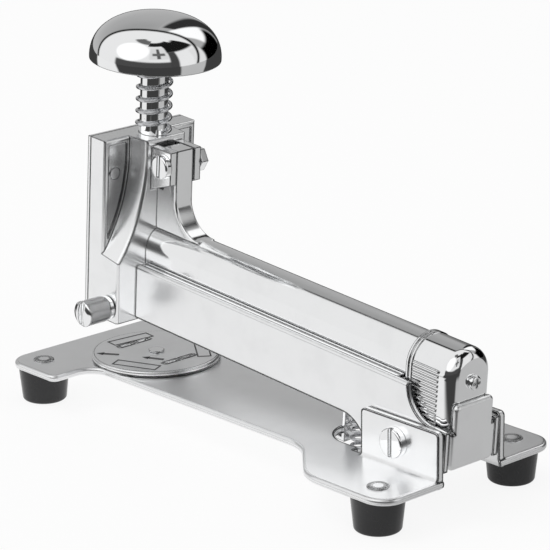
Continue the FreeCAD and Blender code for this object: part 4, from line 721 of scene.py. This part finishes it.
def make_floor():
    bpy.ops.object.select_all(action="DESELECT")
    bpy.ops.mesh.primitive_circle_add(vertices=96, radius=FLOOR_RADIUS, fill_type="NGON", location=(0, 0, 0))
    floor = bpy.context.object
    floor.name = "floor"
    material, tree, shader = new_material("pale_floor")
    shader.inputs["Base Color"].default_value = FLOOR_COLOUR
    shader.inputs["Roughness"].default_value = FLOOR_ROUGHNESS
    shader.inputs["Specular IOR Level"].default_value = 0.0
    path = add(tree, "ShaderNodeLightPath").outputs
    seen = calculate(tree, "MAXIMUM", path["Is Camera Ray"], path["Is Transmission Ray"])
    # Painted light: to glossy rays the floor glows by place instead of being lit
    mirrored = mirror_share(tree, painted_floor_light_level(tree), 1)
    paper = add(tree, "ShaderNodeEmission", {"Color": WHITE, "Strength": 1.0})
    painted_floor_light = add(tree, "ShaderNodeEmission", {"Color": WHITE, "Strength": mirrored})
    glow = calculate(tree, "MULTIPLY", seen, FLOOR_GLOW)
    lit = add(tree, "ShaderNodeMixShader", {0: glow, 1: shader.outputs["BSDF"], 2: paper.outputs["Emission"]})
    both = add(tree, "ShaderNodeMixShader", {
        0: path["Is Glossy Ray"], 1: lit.outputs["Shader"], 2: painted_floor_light.outputs["Emission"]})
    tree.links.new(both.outputs["Shader"], tree.nodes["Material Output"].inputs["Surface"])
    finish_with(floor, material)


def make_camera():
    data = bpy.data.cameras.new("photo_camera")
    data.sensor_width = SENSOR_WIDTH
    data.lens = FOCAL_PIXELS * SENSOR_WIDTH / PICTURE_SIDE
    data.clip_start = CAMERA_CLIP_START
    data.clip_end = CAMERA_CLIP_END
    camera = bpy.data.objects.new("photo_camera", data)
    bpy.context.collection.objects.link(camera)
    back = Vector((
        math.sin(CAMERA_AZIMUTH) * math.cos(CAMERA_ELEVATION),
        -math.cos(CAMERA_AZIMUTH) * math.cos(CAMERA_ELEVATION),
        math.sin(CAMERA_ELEVATION),
    ))
    right = Vector((math.cos(CAMERA_AZIMUTH), math.sin(CAMERA_AZIMUTH), 0.0))
    up = back.cross(right)
    rolled_right = right * math.cos(CAMERA_ROLL) + up * math.sin(CAMERA_ROLL)
    rolled_up = back.cross(rolled_right)
    axes = Matrix((rolled_right, rolled_up, back)).transposed()
    camera.matrix_world = Matrix.Translation(CAMERA_TARGET + back * CAMERA_DISTANCE) @ axes.to_4x4()
    bpy.context.scene.camera = camera


# Studio as the plating mirrors it, in degrees and levels
ROOM_LEVEL = 0.42
DAYLIGHT_LEVEL = 0.75
BOX, ROUND = "box", "round"
STUDIO = [
    (BOX, "room_wall_foot", 132.0, 210.0, -20.0, 16.0, 16.0, 0.52),
    (BOX, "room_wall_top", 132.0, 210.0, 40.0, 64.0, 12.0, 0.36),
    (BOX, "high_room", 132.0, 492.0, 66.0, 100.0, 5.0, 0.7),
    (BOX, "room_strip_light", 440.0, 475.0, 24.0, 68.0, 4.0, 1.1),
    (BOX, "dark_doorway", 475.0, 489.0, -10.0, 54.0, 2.0, 0.03),
    (BOX, "dark_side", 419.0, 472.0, -10.0, 27.0, 4.0, 0.0),
    (ROUND, "tent", 300.0, 18.0, -20.0, 97.0, 1.5, 0.88),
    (BOX, "tent_side", 392.0, 418.0, -10.0, 38.0, 3.0, 0.8),
    (BOX, "dark_lamp_arm", 300.0, 388.0, 66.0, 78.0, 2.0, 0.015),
    (BOX, "dark_lamp_head", 344.0, 414.0, 44.0, 72.0, 3.0, 0.01),
    (BOX, "umbrella", 222.0, 300.0, 71.0, 83.0, 2.0, 0.14),
    (BOX, "dark_curtain", 246.0, 352.0, -10.0, 15.0, 3.0, 0.07),
    (BOX, "dark_curtain_edge", 347.0, 363.0, -10.0, 46.0, 2.5, 0.06),
    (BOX, "tent_mouth", 309.0, 346.0, 24.0, 62.0, 3.0, 0.75),
    (BOX, "camera_stand", 324.0, 331.0, 26.0, 58.0, 1.6, 0.1),
    (BOX, "camera", 315.0, 341.0, 36.0, 44.0, 2.0, 0.14),
    (ROUND, "round_lamp", 270.0, 42.0, -20.0, 27.0, 2.5, 1.15),
    (ROUND, "tent_frame", 300.0, 18.0, 94.8, 99.8, 2.2, 0.0),
]


def box_mask(tree, azimuth, height, first, second, low, high, edge):
    across = soft_band(tree, azimuth, first, second, edge)
    return calculate(tree, "MULTIPLY", across, soft_band(tree, height, low, high, edge))


def round_mask(tree, ray, azimuth, height, inner, outer, edge):
    turn, tip = math.radians(azimuth), math.radians(height)
    axis = (math.cos(tip) * math.cos(turn), math.cos(tip) * math.sin(turn), math.sin(tip))
    away = calculate(tree, "DEGREES", calculate(tree, "ARCCOSINE", dot_product(tree, ray, axis)))
    return soft_band(tree, away, inner, outer, edge)


def make_studio():
    """In STUDIO a box has its azimuths, heights, soft edge and level. A round has the azimuth and height of
    its middle, its inner and outer radius, soft edge and level, and an inner radius below zero leaves no hole.
    A later one covers those before it."""
    world = bpy.data.worlds.new("studio")
    bpy.context.scene.world = world
    world.use_nodes = True
    tree = world.node_tree
    ray = add(tree, "ShaderNodeTexCoord").outputs["Generated"]
    parts = add(tree, "ShaderNodeSeparateXYZ", {0: ray}).outputs
    azimuth = azimuth_of(tree, parts["X"], parts["Y"])
    height = calculate(tree, "DEGREES", calculate(tree, "ARCSINE", parts["Z"]))
    level = ROOM_LEVEL
    for form, name, *place, brightness in STUDIO:
        if form == BOX:
            mask = box_mask(tree, azimuth, height, *place)
        else:
            mask = round_mask(tree, ray, *place)
        level = mix(tree, mask, level, brightness)
        level.node.name = name
    path = add(tree, "ShaderNodeLightPath").outputs
    mirrored = mix(tree, path["Is Glossy Ray"], DAYLIGHT_LEVEL, mirror_share(tree, level, 2))
    white_behind = mix(tree, path["Is Camera Ray"], mirrored, 1.0)
    background = tree.nodes["Background"]
    background.inputs["Color"].default_value = WHITE
    tree.links.new(white_behind, background.inputs["Strength"])


# Lamp
LAMP_POWER = 6.0
LAMP_SIZE = 0.9
LAMP_PLACE = Vector((-0.5, -0.6, 1.5))


def make_lamp():
    """A soft lamp above the near side, turned towards the object and hidden from the plating."""
    data = bpy.data.lights.new("soft_lamp", "AREA")
    data.shape = "DISK"
    data.size = LAMP_SIZE
    data.energy = LAMP_POWER
    lamp = bpy.data.objects.new("soft_lamp", data)
    bpy.context.collection.objects.link(lamp)
    lamp.location = LAMP_PLACE
    lamp.rotation_euler = LAMP_PLACE.to_track_quat("Z", "Y").to_euler()
    lamp.visible_glossy = False


for names, material in ((CHROME_NODES, chrome), (STEEL_NODES, steel), (RUBBER_NODES, rubber)):
    for name in names:
        finish_with(nodes[name], material)
for name in CHROME_NODES:
    if name not in MODELLED_NODES:
        plated_copy(name, node_body[name], plating_of(name))
make_springs()
make_thumb_screw()
make_knob()
make_foot_rivets()
make_disc_marks()
make_floor()
make_camera()
make_studio()
make_lamp()
bpy.context.scene.view_settings.view_transform = "Standard"
